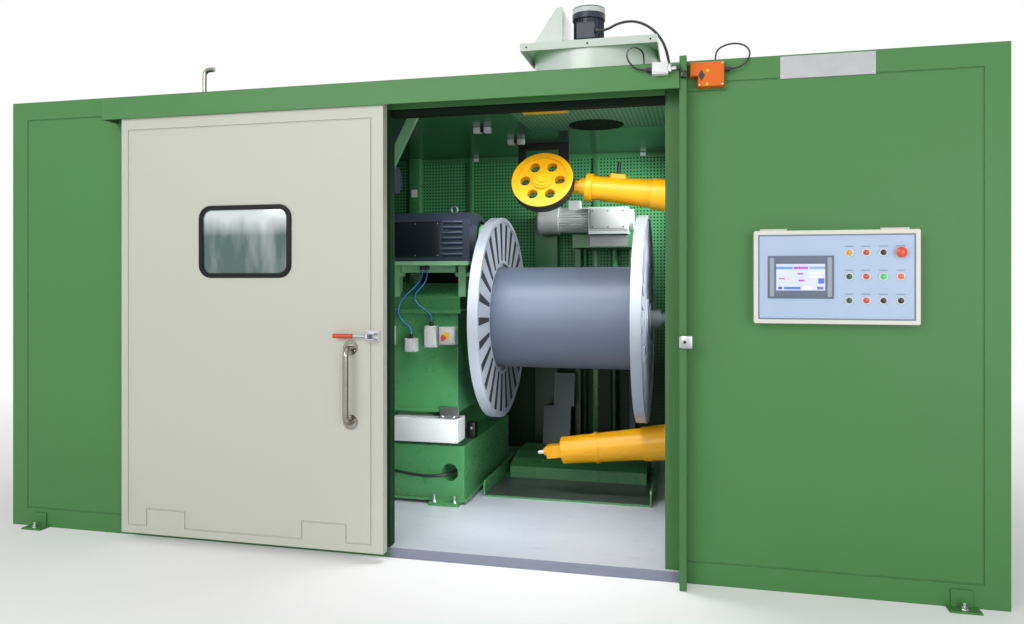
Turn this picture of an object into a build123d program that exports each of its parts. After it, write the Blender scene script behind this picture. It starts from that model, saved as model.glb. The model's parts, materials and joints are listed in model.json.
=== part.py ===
from build123d import *
import math
import os

os.makedirs("parts", exist_ok=True)

# Driving dimensions in millimetres. Distances along the front run from a datum line that lies
# right_end before the right end, depths from the front face and heights from the ground.

# Cabin
cabin_length = 5090
cabin_depth = 2350
cabin_height = 2400
right_end = 5090
wall = 60
floor_thick = 50
roof_thick = 40
right_wall_length = 1330
opening_width = 1360
lintel_height = 150
jamb_width = 68
jamb_setback = 20
strip_width = 32
strip_proud = 100
groove_inset = 100
groove_width = 7
groove_depth = 4
seat_gap = 0.3

left_end = right_end - cabin_length
datum = -(left_end + right_end) / 2
front = -cabin_depth / 2
right_wall_start = right_end - right_wall_length
strip_start = right_wall_start - strip_width
opening_end = strip_start - jamb_width
opening_start = opening_end - opening_width
opening_top = cabin_height - lintel_height
ceiling = cabin_height - roof_thick
rear_face = cabin_depth - wall

# Anchor feet
foot_inset = 190
foot_length = 125
foot_reach = 70
foot_thick = 8
foot_upright_length = 85
foot_upright_height = 70
foot_hole_reach = 40
foot_hole_radius = 9

# Door header, rail and hangers
header_margin = 111
header_lap = 3
header_height = 115
header_plate = 8
header_reach = 112
rail_width = 50
rail_height = 52
rail_wall = 4
rail_slot = 18
rail_end_gap = 20
hanger_inset = 200
hanger_length = 80
hanger_thick = 8
hanger_wheel_radius = 17
hanger_wheel_width = 12

# Sliding door
door_width = 1500
door_lap = 4
door_thick = 50
door_gap = 45
door_bottom = 45
door_tuck = 37
door_groove_left = 40
door_groove_right = 60
door_groove_top = 95
door_groove_bottom = 40
notch_a_start = 160
notch_a_width = 225
notch_b_start = 1065
notch_b_width = 235
notch_height = 90
window_inset = 474
window_width = 530
window_base = 1405
window_height = 374
window_corner = 45
window_rim = 24
window_proud = 10
glass_thick = 8
handle_inset = 172
handle_low = 690
handle_high = 1058
handle_reach = 60
handle_radius = 15
handle_bend = 40
rosette_radius = 37
rosette_thick = 8

door_end = opening_start + door_lap
door_start = door_end - door_width
door_back = -door_gap
door_front = door_back - door_thick
header_start = door_start - header_margin
header_base = opening_top + header_lap
header_top = header_base + header_height
door_top = header_base + door_tuck
window_start = door_start + window_inset
handle_x = door_end - handle_inset

# Toggle latch on the door and its keeper on the post
latch_z = 1118
latch_plate_length = 74
latch_plate_height = 58
latch_plate_thick = 5
latch_edge_inset = 15
latch_ear_thick = 6
latch_ear_reach = 46
latch_ear_length = 26
latch_pin_radius = 5
latch_pin_reach = 33
latch_eye_radius = 11
latch_eye_height = 20
latch_rod_radius = 5
latch_rod_length = 60
latch_grip_radius = 11
latch_grip_length = 105
latch_play = 1
pin_clearance = 0.1
keeper_height = 50
keeper_proud = 26
keeper_slot = 14

# Control box
box_inset = 290
box_width = 675
box_base = 1204
box_height = 407
box_depth = 70
box_rim = 18
box_recess = 6
box_corner = 8
lug_length = 115
lug_height = 11
lug_inset = 30
screen_inset = 59
screen_rise = 110
screen_width = 272
screen_height = 186
screen_proud = 8
screen_frame = 35
screen_recess = 3
button_inset = 393
button_margin = 77
button_rise = 103
button_row_pitch = 103
button_column_count = 4
button_row_count = 3
bezel_radius = 15
bezel_height = 8
cap_radius = 11
cap_height = 6
stop_radius = 22
stop_height = 22

box_start = right_wall_start + box_inset
button_column_pitch = (box_width - button_inset - button_margin) / (button_column_count - 1)

# Switches over the door
interlock_inset = 47
interlock_drop = 21
interlock_width = 117
interlock_height = 111
interlock_depth = 45
interlock_lobe_width = 35
interlock_lobe_height = 62
interlock_corner = 6
interlock_plate = 6
interlock_plate_margin = 8
limit_inset = 118
limit_rise = 59
limit_width = 70
limit_height = 51
limit_depth = 40
limit_arm_length = 46
limit_arm_width = 12
limit_arm_thick = 5
limit_roller_radius = 10

interlock_start = right_wall_start + interlock_inset
interlock_base = cabin_height - interlock_drop - interlock_height
limit_start = strip_start - limit_inset
limit_base = header_base + limit_rise

# Roof fan
fan_x = 3190
fan_y = 1163
fan_drum_radius = 380
fan_drum_wall = 8
fan_hole_radius = 150
fan_plate_size = 790
fan_plate_rim = 45
fan_plate_thick = 6
fan_rise = 372
hood_foot_reach = 385
hood_top_reach = 210
hood_top_length = 35
hood_rise = 258
hood_width = 420
fan_motor_offset = 45
fan_motor_height = 298
fan_motor_radius = 95
fan_flange_radius = 118
fan_flange_thick = 18
fan_cowl_radius = 102
fan_cowl_height = 70
fan_fin_count = 20
fan_fin_thick = 5
fan_fin_height = 8
terminal_width = 105
terminal_depth = 70
terminal_height = 95
terminal_rise = 78

fan_plate_top = cabin_height + fan_rise
fan_motor_x = fan_x - fan_motor_offset
fan_motor_top = fan_plate_top + fan_motor_height
terminal_base = fan_plate_top + terminal_rise

# Bent vent pipe on the roof
vent_x = 966
vent_y = 400
vent_radius = 14
vent_rise = 235
vent_bend = 30
vent_reach = 62
vent_foot_radius = 35
vent_foot_thick = 8

# Spindle line: reel and flyer turn about one axis along the cabin
axis_y = 1120
axis_z = 1160

# Headstock
base_start = 1300
base_length = 1150
base_front_reach = 330
base_depth = 1110
base_height = 330
base_pad_height = 20
base_pad_length = 190
base_pad_width = 110
base_pad_inset = 17
base_lip = 14
base_lip_thick = 16
base_hole_inset = 92
base_hole_rise = 170
base_hole_radius = 52
base_hole_depth = 120
slide_inset_start = 80
slide_inset_end = 150
slide_inset_front = 80
slide_inset_back = 50
slide_height = 200
body_inset = 180
body_length = 928
body_front_reach = 320
body_back_reach = 440
body_lip_rise = 32
body_lip_thick = 22
body_lip = 14
body_end_lip = 20
body_foot_lip = 18
hood_setback = 40
hood_shoulder_rise = 126
hood_ridge_rise = 211
hood_slope_run = 160
boss_radius = 140
boss_length = 8
motor_plate_overhang = 68
motor_plate_length = 836
motor_plate_front_reach = 340
motor_plate_depth = 550
motor_plate_thick = 25
hinge_height = 110
hinge_length = 46
hinge_width = 55
hinge_insets = (508, 82)
hinge_setback = 70
hinge_pin_radius = 14
plate_beam_length = 350
plate_beam_height = 43
plate_beam_width = 60
plate_beam_setback = 90
plate_beam_inset = 106
motor_inset = 26
motor_length = 538
motor_front_reach = 220
motor_width = 290
motor_height = 304
motor_bevel = 42
motor_cover_inset = 25
motor_cover_length = 320
motor_cover_recess = 5
motor_louvre_count = 7
motor_louvre_pitch = 33
motor_louvre_length = 130
motor_louvre_inset = 45
motor_louvre_slot = 14
motor_louvre_depth = 16
motor_louvre_rise = 28
motor_bell_radius = 140
motor_bell_length = 36
motor_bell_recess = 14
motor_bell_wall = 26
motor_shaft_radius = 24
eye_radius = 20
eye_wire = 6
eye_inset = 143
guard_gap = 82
guard_width = 36
guard_low_radius = 300
guard_top_radius = 95
guard_edge = 10
guard_bore_radius = 75
guard_bracket_length = 60
guard_bracket_width = 40
junction_inset = 20
junction_rise = 28
junction_width = 428
junction_height = 143
junction_depth = 146
junction_corner = 10

base_end = base_start + base_length
base_front = axis_y - base_front_reach
base_back = base_front + base_depth
base_foot = floor_thick + base_pad_height
base_top = base_foot + base_height
slide_end = base_end - slide_inset_end
slide_front = base_front + slide_inset_front
slide_top = base_top + slide_height
body_start = base_start + body_inset
body_end = body_start + body_length
body_front = axis_y - body_front_reach
body_back = axis_y + body_back_reach
body_lip_base = axis_z + body_lip_rise
body_lip_top = body_lip_base + body_lip_thick
hood_shoulder = axis_z + hood_shoulder_rise
hood_ridge = axis_z + hood_ridge_rise
motor_plate_end = body_end + motor_plate_overhang
motor_plate_start = motor_plate_end - motor_plate_length
motor_plate_front = axis_y - motor_plate_front_reach
motor_plate_back = motor_plate_front + motor_plate_depth
motor_plate_base = hood_ridge + hinge_height
motor_base = motor_plate_base + motor_plate_thick
motor_end = motor_plate_end - motor_inset
motor_start = motor_end - motor_length
motor_front = axis_y - motor_front_reach
guard_start = body_end + guard_gap
guard_end = guard_start + guard_width

# Small control boxes on the headstock front: from its right end, below its lip, and their sizes
valve_insets = (320, 194, 100, 458)
valve_drops = (151, 74, 79, 79)
valve_widths = (68, 74, 98, 60)
valve_heights = (80, 127, 104, 112)
valve_depths = (55, 60, 62, 50)

# Reel
reel_gap = 29
reel_width = 960
flange_radius = 625
flange_width = 60
flange_rim = 26
web_setback = 6
web_thick = 8
rib_count = 26
rib_inner_width = 36
rib_outer_width = 62
rib_setback = 6
rib_groove_inner = 24
rib_groove_outer = 50
rib_groove_depth = 34
rib_groove_margin = 10
hub_ring_radius = 345
hub_ring_setback = 10
hub_ring_thick = 22
web_opening_radius = 337
hub_boss_radius = 118
driver_slot_radius = 222
driver_slot_length = 118
driver_slot_width = 46
driver_slot_count = 6
driver_slot_turn = 90
barrel_radius = 312
barrel_wall = 12
spindle_radius = 55
spindle_sink = 250
spindle_reach = 75
spindle_nose_radius = 38
spindle_nose_length = 45
spindle_collar_radius = 90
spindle_collar_width = 14

reel_start = guard_end + reel_gap
reel_end = reel_start + reel_width
spindle_start = body_end - spindle_sink
spindle_end = reel_end + spindle_reach

# Flyer
flyer_gap = 345
flyer_carrier_thick = 100
arm_gap = 88
flyer_splay = 7.3
flyer_eye_radius = 135
flyer_hub_radius = 250
flyer_shaft_radius = 90
flyer_shaft_bore = 30
flyer_shaft_overhang = 40
arm_root_radius = 100
arm_tip_radius = 72
arm_length = 690
arm_sleeve_length = 330
arm_sleeve_thick = 7
arm_collar_radius = 87
arm_collar_width = 40
arm_spigot_radius = 52
arm_spigot_length = 40
arm_pad_length = 96
arm_pad_width = 80
arm_pad_height = 24
arm_pad_edge = 12
arm_pad_place = 545
arm_post_radius = 10
arm_post_height = 78
neck_radius = 27
neck_drop = 12
neck_forward = 15
lower_root_radius = 106
lower_tip_radius = 82
lower_length = 880
lower_sleeve_length = 385
lower_ring_place = 651
lower_ring_width = 22
lower_ring_proud = 7
lower_block = 76
lower_block_length = 97
lower_collar_radius = 24
lower_collar_length = 20
lower_nose_radius = 10
lower_nose_length = 36

flyer_root = reel_end + flyer_gap
flyer_root_offset = flange_radius + arm_gap

# Flyer pulley, on a stub axle at the end of the upper arm
pulley_inset = 325
pulley_radius = 190
pulley_width = 70
pulley_groove_depth = 26
pulley_groove_half = 24
pulley_web_recess = 14
pulley_rim = 34
pulley_hub_radius = 62
pulley_hub_step_radius = 48
pulley_hub_step = 8
pulley_hub_proud = 10
pulley_hole_count = 6
pulley_hole_place = 108
pulley_hole_radius = 32
pulley_tilt = 25
pulley_stand = 80
pulley_bore = 20
axle_clearance = 0.1
axle_cap_radius = 30
axle_cap_thick = 8

pulley_x = reel_start + pulley_inset

# Flyer pedestal
pedestal_gap = 120
pedestal_length = 580
pedestal_half_width = 300
pedestal_plate = 40
pedestal_foot = 40
pedestal_head_radius = 190
pedestal_bore_clearance = 0.3

shaft_start = flyer_root + flyer_carrier_thick
pedestal_start = shaft_start + pedestal_gap
pedestal_end = pedestal_start + pedestal_length
flyer_shaft_end = pedestal_end + flyer_shaft_overhang

# Strand inlet in the right end wall
inlet_bore = 30
inlet_radius = 60
inlet_flange_radius = 95
inlet_flange_thick = 12

# Rear of the cabin
liner_thick = 15
liner_sheet = 5
liner_bar = 40
liner_bays = 5
stand_start = 2899
stand_length = 451
stand_reach = 225
stand_top = 1725
stand_beam = 95
stand_leg_width = 42
stand_leg_depth = 100
stand_rod_inset = 70
stand_rod_radius = 11
stand_cylinder_inset = 160
stand_cylinder_radius = 27
column_start = 2593
column_width = 170
column_height = 1880
gear_rise = 108
gear_setback = 15
gear_start = 2645
gear_cowl_length = 160
gear_cowl_radius = 104
gear_cowl_edge = 18
gear_motor_length = 224
gear_motor_radius = 92
gear_fin_count = 28
gear_fin_thick = 4
gear_fin_height = 12
gear_case_length = 285
gear_case_half_width = 95
gear_case_half_height = 88
gear_case_corner = 10
gear_flange_length = 34
gear_flange_radius = 74
gear_terminal_size = 84
gear_terminal_height = 50
rear_motor_start = 1230
rear_motor_length = 260
rear_motor_radius = 105
rear_motor_reach = 155
rear_motor_drop = 180
rear_motor_bracket = 40
table_lap_start = 45
table_lap_end = 25
table_front_reach = 120
table_rear_gap = 325
table_plate = 10
table_side_thick = 10
table_side_chamfer = 18
table_side_height = 85
hump_front_reach = 340
hump_step = 76
hump_slope_run = 100
hump_slope_rise = 36
hump_top_run = 140
hump_top_rise = 22
hump_inset = 60
lift_start = 2690
lift_low_width = 200
lift_high_inset = 72
lift_high_width = 150
lift_gap = 10
lift_depth = 50
lift_lean = 120
lift_step_z = 460
lift_head_z = 695

liner_front = rear_face - liner_thick
stand_front = liner_front - stand_reach
stand_end = stand_start + stand_length
stand_base = stand_top - stand_beam
gear_y = stand_front + gear_setback
gear_z = stand_top + gear_rise
rear_motor_y = liner_front - rear_motor_reach
rear_motor_z = ceiling - rear_motor_drop
table_start = reel_start - table_lap_start
table_end = reel_end + table_lap_end
table_front = axis_y - table_front_reach
table_back = liner_front - table_rear_gap

# Strut between the ceiling and the motor plate
brace_top_x = 2260
brace_top_y = 500
brace_foot_inset = 30
brace_width = 60
brace_thick = 30

# Cables and hoses
fan_cable_radius = 8
switch_cable_radius = 4
base_cable_radius = 9
hose_radius = 4
hose_count = 2
gland_radius = 13
gland_length = 26
bend_share = 0.45
fan_cable_roof_x = 3652
interlock_roof_x = 3888
interlock_roof_y = 132
limit_roof_x = 3556
limit_roof_y = 118
clip_inset = 430
clip_rise = 192
clip_length = 30
clip_out = 34
hose_gland_y = 840
hose_gland_pitch = 32
hose_gland_inset = 240
valve_gland_setback = 30


def box(x0, x1, y0, y1, z0, z1, mode=Mode.ADD):
    # A plain block between two corners, distances from the datum line, the front and the ground
    with Locations((datum + x0, front + y0, z0)):
        Box(x1 - x0, y1 - y0, z1 - z0, align=(Align.MIN, Align.MIN, Align.MIN), mode=mode)


def front_plane(depth):
    # A plane parallel to the front face, its normal towards the viewer
    return Plane.XZ.offset(-front - depth)


def across_plane(x):
    # A plane square to the length, its own x along the depth and its own y upwards
    return Plane.YZ.offset(datum + x)


def groove_frame(x0, x1, z0, z1, depth):
    # The shadow line of a panel, cut into the face at the given depth
    with BuildSketch(front_plane(depth)) as shadow_line:
        with Locations((datum + (x0 + x1) / 2, (z0 + z1) / 2)):
            Rectangle(x1 - x0, z1 - z0)
            Rectangle(x1 - x0 - 2 * groove_width, z1 - z0 - 2 * groove_width, mode=Mode.SUBTRACT)
    extrude(shadow_line.sketch, amount=-groove_depth, mode=Mode.SUBTRACT)


def place(x, y, z):
    return Vector(datum + x, front + y, z)


def write(piece, name):
    piece.part.label = name
    export_step(piece.part, f"parts/{name}.step")


# Floor with its sill in the doorway
with BuildPart() as base_floor:
    box(left_end + wall, right_end - wall, wall, rear_face, 0, floor_thick)
    box(opening_start, strip_start, 0, wall, 0, floor_thick)
write(base_floor, "base_floor")

with BuildPart() as front_left_wall:
    box(left_end, opening_start, 0, wall, 0, cabin_height)
    groove_frame(
        left_end + groove_inset,
        opening_start + groove_inset,
        groove_inset,
        cabin_height - groove_inset,
        0,
    )
write(front_left_wall, "front_left_wall")

with BuildPart() as front_right_wall:
    box(right_wall_start, right_end, 0, wall, 0, cabin_height)
    groove_frame(
        right_wall_start - groove_inset,
        right_end - groove_inset,
        groove_inset,
        cabin_height - groove_inset,
        0,
    )
write(front_right_wall, "front_right_wall")

with BuildPart() as door_lintel:
    box(opening_start, opening_end, 0, wall, opening_top, cabin_height)
write(door_lintel, "door_lintel")

# Jamb set back from the front, with the proud strip that the door closes against
with BuildPart() as door_post:
    box(opening_end, strip_start, jamb_setback, wall, floor_thick, cabin_height)
    box(strip_start, right_wall_start, -strip_proud, wall, 0, cabin_height)
write(door_post, "door_post")

with BuildPart() as rear_wall:
    box(left_end, right_end, rear_face, cabin_depth, 0, cabin_height)
write(rear_wall, "rear_wall")

# The two end walls, the right one bored for the strand inlet
with BuildPart() as end_walls:
    box(left_end, left_end + wall, wall, rear_face, 0, cabin_height)
    box(right_end - wall, right_end, wall, rear_face, 0, cabin_height)
    with BuildSketch(across_plane(right_end - wall)):
        with Locations((front + axis_y, axis_z)):
            Circle(inlet_radius)
    extrude(amount=wall, mode=Mode.SUBTRACT)
write(end_walls, "end_walls")

with BuildPart() as roof_panel:
    box(left_end + wall, right_end - wall, wall, rear_face, ceiling, cabin_height)
    with BuildSketch(Plane.XY.offset(ceiling)):
        with Locations((datum + fan_x, front + fan_y)):
            Circle(fan_hole_radius)
    extrude(amount=roof_thick, mode=Mode.SUBTRACT)
write(roof_panel, "roof_panel")

# Four angle feet, bolted down in front of and behind the cabin
with BuildPart() as anchor_feet:
    for foot_x in (left_end + foot_inset, right_end - foot_inset):
        for face, out in ((0, -1), (cabin_depth, 1)):
            toe = face + out * foot_reach
            heel = face + out * foot_thick
            box(foot_x - foot_length / 2, foot_x + foot_length / 2, min(face, toe), max(face, toe), 0, foot_thick)
            box(
                foot_x - foot_upright_length / 2,
                foot_x + foot_upright_length / 2,
                min(face, heel),
                max(face, heel),
                foot_thick,
                foot_thick + foot_upright_height,
            )
            with BuildSketch(Plane.XY):
                with Locations((datum + foot_x, front + face + out * foot_hole_reach)):
                    Circle(foot_hole_radius)
            extrude(amount=foot_thick, mode=Mode.SUBTRACT)
write(anchor_feet, "anchor_feet")

# Sliding door
window_mid = (datum + window_start + window_width / 2, window_base + window_height / 2)

with BuildPart() as door_panel:
    box(door_start, door_end, door_front, door_back, door_bottom, door_top)
    with BuildSketch(front_plane(door_front)):
        with Locations(window_mid):
            RectangleRounded(window_width - 2 * window_rim, window_height - 2 * window_rim, window_corner)
    extrude(amount=-door_thick, mode=Mode.SUBTRACT)
    panel_width = door_width - door_groove_left - door_groove_right
    panel_base = door_bottom + door_groove_bottom
    panel_height = door_top - door_groove_top - panel_base
    with BuildSketch(front_plane(door_front)):
        with Locations((datum + door_start + door_groove_left + panel_width / 2, panel_base + panel_height / 2)):
            Rectangle(panel_width, panel_height)
        for notch_start, notch_width in ((notch_a_start, notch_a_width), (notch_b_start, notch_b_width)):
            with Locations((datum + door_start + notch_start + notch_width / 2, panel_base + notch_height / 2)):
                Rectangle(notch_width, notch_height, mode=Mode.SUBTRACT)
        offset(amount=-groove_width, kind=Kind.INTERSECTION, mode=Mode.SUBTRACT)
    extrude(amount=-groove_depth, mode=Mode.SUBTRACT)
write(door_panel, "door_panel")

# Rubber profile round the window, seated on the front of the door
with BuildPart() as window_frame:
    with BuildSketch(front_plane(door_front)):
        with Locations(window_mid):
            RectangleRounded(window_width, window_height, window_corner + window_rim)
            RectangleRounded(
                window_width - 2 * window_rim,
                window_height - 2 * window_rim,
                window_corner,
                mode=Mode.SUBTRACT,
            )
    extrude(amount=window_proud)
    rim_edges = window_frame.faces().sort_by(Axis.Y)[0].outer_wire().edges()
    fillet(rim_edges, window_proud / 2)
write(window_frame, "window_frame")

with BuildPart() as window_glass:
    with BuildSketch(front_plane(door_front)):
        with Locations(window_mid):
            RectangleRounded(
                window_width - 2 * window_rim - 2 * seat_gap,
                window_height - 2 * window_rim - 2 * seat_gap,
                window_corner,
            )
    extrude(amount=-glass_thick)
write(window_glass, "window_glass")

# Tubular pull handle on two rosettes
with BuildPart() as door_handle:
    with BuildLine() as handle_line:
        FilletPolyline(
            place(handle_x, door_front, handle_low),
            place(handle_x, door_front - handle_reach, handle_low),
            place(handle_x, door_front - handle_reach, handle_high),
            place(handle_x, door_front, handle_high),
            radius=handle_bend,
        )
    with BuildSketch(Plane(origin=handle_line.line @ 0, z_dir=handle_line.line % 0)):
        Circle(handle_radius)
    sweep()
    for rosette_z in (handle_low, handle_high):
        with BuildSketch(front_plane(door_front)):
            with Locations((datum + handle_x, rosette_z)):
                Circle(rosette_radius)
        extrude(amount=rosette_thick)
write(door_handle, "door_handle")

# Header channel that hides the rail
with BuildPart() as door_header:
    box(header_start, strip_start, -header_reach, -header_reach + header_plate, header_base, header_top)
    box(
        header_start,
        strip_start,
        -header_reach + header_plate,
        0,
        header_top - header_plate,
        header_top,
    )
    box(
        header_start,
        header_start + header_plate,
        -header_reach + header_plate,
        0,
        header_base,
        header_top - header_plate,
    )
write(door_header, "door_header")

# Slotted rail under the header
rail_y = (door_front + door_back) / 2
rail_top = header_top - header_plate
rail_base = rail_top - rail_height
rail_start = header_start + header_plate + rail_end_gap
rail_end = strip_start - rail_end_gap
with BuildPart() as door_rail:
    box(rail_start, rail_end, rail_y - rail_width / 2, rail_y + rail_width / 2, rail_base, rail_top)
    box(
        rail_start,
        rail_end,
        rail_y - rail_width / 2 + rail_wall,
        rail_y + rail_width / 2 - rail_wall,
        rail_base + rail_wall,
        rail_top - rail_wall,
        mode=Mode.SUBTRACT,
    )
    box(
        rail_start,
        rail_end,
        rail_y - rail_slot / 2,
        rail_y + rail_slot / 2,
        rail_base,
        rail_base + rail_wall,
        mode=Mode.SUBTRACT,
    )
write(door_rail, "door_rail")

# Two hangers, each a stem with a wheel on both sides that rolls on the rail's lips
wheel_z = rail_base + rail_wall + seat_gap + hanger_wheel_radius
with BuildPart() as door_hangers:
    for hanger_x in (door_start + hanger_inset, door_end - hanger_inset):
        box(
            hanger_x - hanger_length / 2,
            hanger_x + hanger_length / 2,
            rail_y - hanger_thick / 2,
            rail_y + hanger_thick / 2,
            door_top,
            wheel_z,
        )
        for wheel_x in (hanger_x - hanger_length / 4, hanger_x + hanger_length / 4):
            with BuildSketch(front_plane(rail_y + hanger_thick / 2 + hanger_wheel_width)):
                with Locations((datum + wheel_x, wheel_z)):
                    Circle(hanger_wheel_radius)
            extrude(amount=hanger_thick + 2 * hanger_wheel_width)
write(door_hangers, "door_hangers")

# Latch base: a plate with two ears and the pivot pin
latch_plate_end = door_end - latch_edge_inset
latch_plate_start = latch_plate_end - latch_plate_length
latch_pin_x = latch_plate_start + latch_ear_length / 2
latch_pin_y = door_front - latch_pin_reach
ear_inner = latch_eye_height / 2 + latch_play
with BuildPart() as latch_base:
    box(
        latch_plate_start,
        latch_plate_end,
        door_front - latch_plate_thick,
        door_front,
        latch_z - latch_plate_height / 2,
        latch_z + latch_plate_height / 2,
    )
    for ear_base in (latch_z + ear_inner, latch_z - ear_inner - latch_ear_thick):
        box(
            latch_plate_start,
            latch_plate_end - latch_ear_length / 2,
            door_front - latch_ear_reach,
            door_front - latch_plate_thick,
            ear_base,
            ear_base + latch_ear_thick,
        )
    with BuildSketch(Plane.XY.offset(latch_z - ear_inner)):
        with Locations((datum + latch_pin_x, front + latch_pin_y)):
            Circle(latch_pin_radius)
    extrude(amount=2 * ear_inner)
write(latch_base, "latch_base")

# Latch lever: an eye on the pin with a rod that points away from the door's edge
rod_start = latch_pin_x - latch_eye_radius - latch_rod_length
with BuildPart() as latch_lever:
    with BuildSketch(Plane.XY.offset(latch_z - latch_eye_height / 2)):
        with Locations((datum + latch_pin_x, front + latch_pin_y)):
            Circle(latch_eye_radius)
    extrude(amount=latch_eye_height)
    with BuildSketch(across_plane(rod_start)):
        with Locations((front + latch_pin_y, latch_z)):
            Circle(latch_rod_radius)
    extrude(amount=latch_rod_length + latch_eye_radius)
    with BuildSketch(Plane.XY.offset(latch_z - latch_eye_height / 2)):
        with Locations((datum + latch_pin_x, front + latch_pin_y)):
            Circle(latch_pin_radius + pin_clearance)
    extrude(amount=latch_eye_height, mode=Mode.SUBTRACT)
write(latch_lever, "latch_lever")

# Red grip on the end of the rod
with BuildPart() as latch_grip:
    with BuildSketch(across_plane(rod_start)):
        with Locations((front + latch_pin_y, latch_z)):
            Circle(latch_grip_radius)
    extrude(amount=-latch_grip_length)
    fillet(latch_grip.edges().filter_by(GeomType.CIRCLE), latch_grip_radius / 3)
write(latch_grip, "latch_grip")

# Keeper on the closing strip, with a slot for the latch hook
with BuildPart() as latch_keeper:
    box(
        strip_start,
        strip_start + strip_width,
        -strip_proud - keeper_proud,
        -strip_proud,
        latch_z - keeper_height / 2,
        latch_z + keeper_height / 2,
    )
    box(
        strip_start,
        strip_start + strip_width,
        -strip_proud - keeper_proud / 2,
        -strip_proud,
        latch_z - keeper_slot / 2,
        latch_z + keeper_slot / 2,
        mode=Mode.SUBTRACT,
    )
write(latch_keeper, "latch_keeper")

# Control box with a rim, a sunk face and two hanging lugs
with BuildPart() as control_box:
    with BuildSketch(front_plane(0)):
        with Locations((datum + box_start + box_width / 2, box_base + box_height / 2)):
            RectangleRounded(box_width, box_height, box_corner)
    extrude(amount=box_depth)
    with BuildSketch(front_plane(-box_depth)):
        with Locations((datum + box_start + box_width / 2, box_base + box_height / 2)):
            Rectangle(box_width - 2 * box_rim, box_height - 2 * box_rim)
    extrude(amount=-box_recess, mode=Mode.SUBTRACT)
    for lug_start in (box_start + lug_inset, box_start + box_width - lug_inset - lug_length):
        box(lug_start, lug_start + lug_length, -lug_height, 0, box_base + box_height, box_base + box_height + lug_height)
write(control_box, "control_box")

panel_face = -box_depth + box_recess
screen_mid = (
    datum + box_start + screen_inset + screen_width / 2,
    box_base + screen_rise + screen_height / 2,
)
with BuildPart() as touch_screen:
    with BuildSketch(front_plane(panel_face)):
        with Locations(screen_mid):
            RectangleRounded(screen_width, screen_height, box_corner)
    extrude(amount=screen_proud)
    with BuildSketch(front_plane(panel_face - screen_proud)):
        with Locations(screen_mid):
            Rectangle(screen_width - 2 * screen_frame, screen_height - 2 * screen_frame)
    extrude(amount=-screen_recess, mode=Mode.SUBTRACT)
write(touch_screen, "touch_screen")

# Push buttons in rows, the one at the top right a mushroom stop
with BuildPart() as push_buttons:
    for column in range(button_column_count):
        for row in range(button_row_count):
            is_stop = column == button_column_count - 1 and row == button_row_count - 1
            button_place = (
                datum + box_start + button_inset + column * button_column_pitch,
                box_base + button_rise + row * button_row_pitch,
            )
            with BuildSketch(front_plane(panel_face)):
                with Locations(button_place):
                    Circle(bezel_radius)
            extrude(amount=bezel_height)
            with BuildSketch(front_plane(panel_face - bezel_height)):
                with Locations(button_place):
                    Circle(stop_radius if is_stop else cap_radius)
            extrude(amount=stop_height if is_stop else cap_height)
write(push_buttons, "push_buttons")

# Interlock switch with its lobe, screwed to a plate on the wall
with BuildPart() as interlock_switch:
    with BuildSketch(front_plane(-interlock_plate)):
        with Locations((datum + interlock_start + interlock_width / 2, interlock_base + interlock_height / 2)):
            Rectangle(interlock_width, interlock_height)
        with Locations(
            (
                datum + interlock_start - interlock_lobe_width / 2,
                interlock_base + interlock_height - interlock_lobe_height / 2,
            )
        ):
            Rectangle(interlock_lobe_width, interlock_lobe_height)
    extrude(amount=interlock_depth)
    fillet(interlock_switch.faces().sort_by(Axis.Y)[0].edges(), interlock_corner)
    box(
        right_wall_start,
        interlock_start + interlock_width + interlock_plate_margin,
        -interlock_plate,
        0,
        interlock_base - interlock_plate_margin,
        interlock_base + interlock_height + interlock_plate_margin,
    )
write(interlock_switch, "interlock_switch")

# Limit switch on the header, with a roller lever towards the post
limit_axis_z = limit_base + limit_height / 2
with BuildPart() as limit_switch:
    box(
        limit_start,
        limit_start + limit_width,
        -header_reach - limit_depth,
        -header_reach,
        limit_base,
        limit_base + limit_height,
    )
    box(
        limit_start + limit_width,
        limit_start + limit_width + limit_arm_length,
        -header_reach - limit_depth / 2 - limit_arm_thick,
        -header_reach - limit_depth / 2,
        limit_axis_z - limit_arm_width / 2,
        limit_axis_z + limit_arm_width / 2,
    )
    with BuildSketch(front_plane(-header_reach - limit_depth / 2)):
        with Locations((datum + limit_start + limit_width + limit_arm_length, limit_axis_z)):
            Circle(limit_roller_radius)
    extrude(amount=limit_arm_thick + limit_roller_radius)
write(limit_switch, "limit_switch")

# Roof fan: hollow drum, square cap with a folded rim and a sloped hood, upright motor
fan_mid = (datum + fan_x, front + fan_y)
with BuildPart() as fan_drum:
    with BuildSketch(Plane.XY.offset(cabin_height)):
        with Locations(fan_mid):
            Circle(fan_drum_radius)
            Circle(fan_drum_radius - fan_drum_wall, mode=Mode.SUBTRACT)
    extrude(amount=fan_plate_top - fan_plate_thick - cabin_height)
write(fan_drum, "fan_drum")

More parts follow.
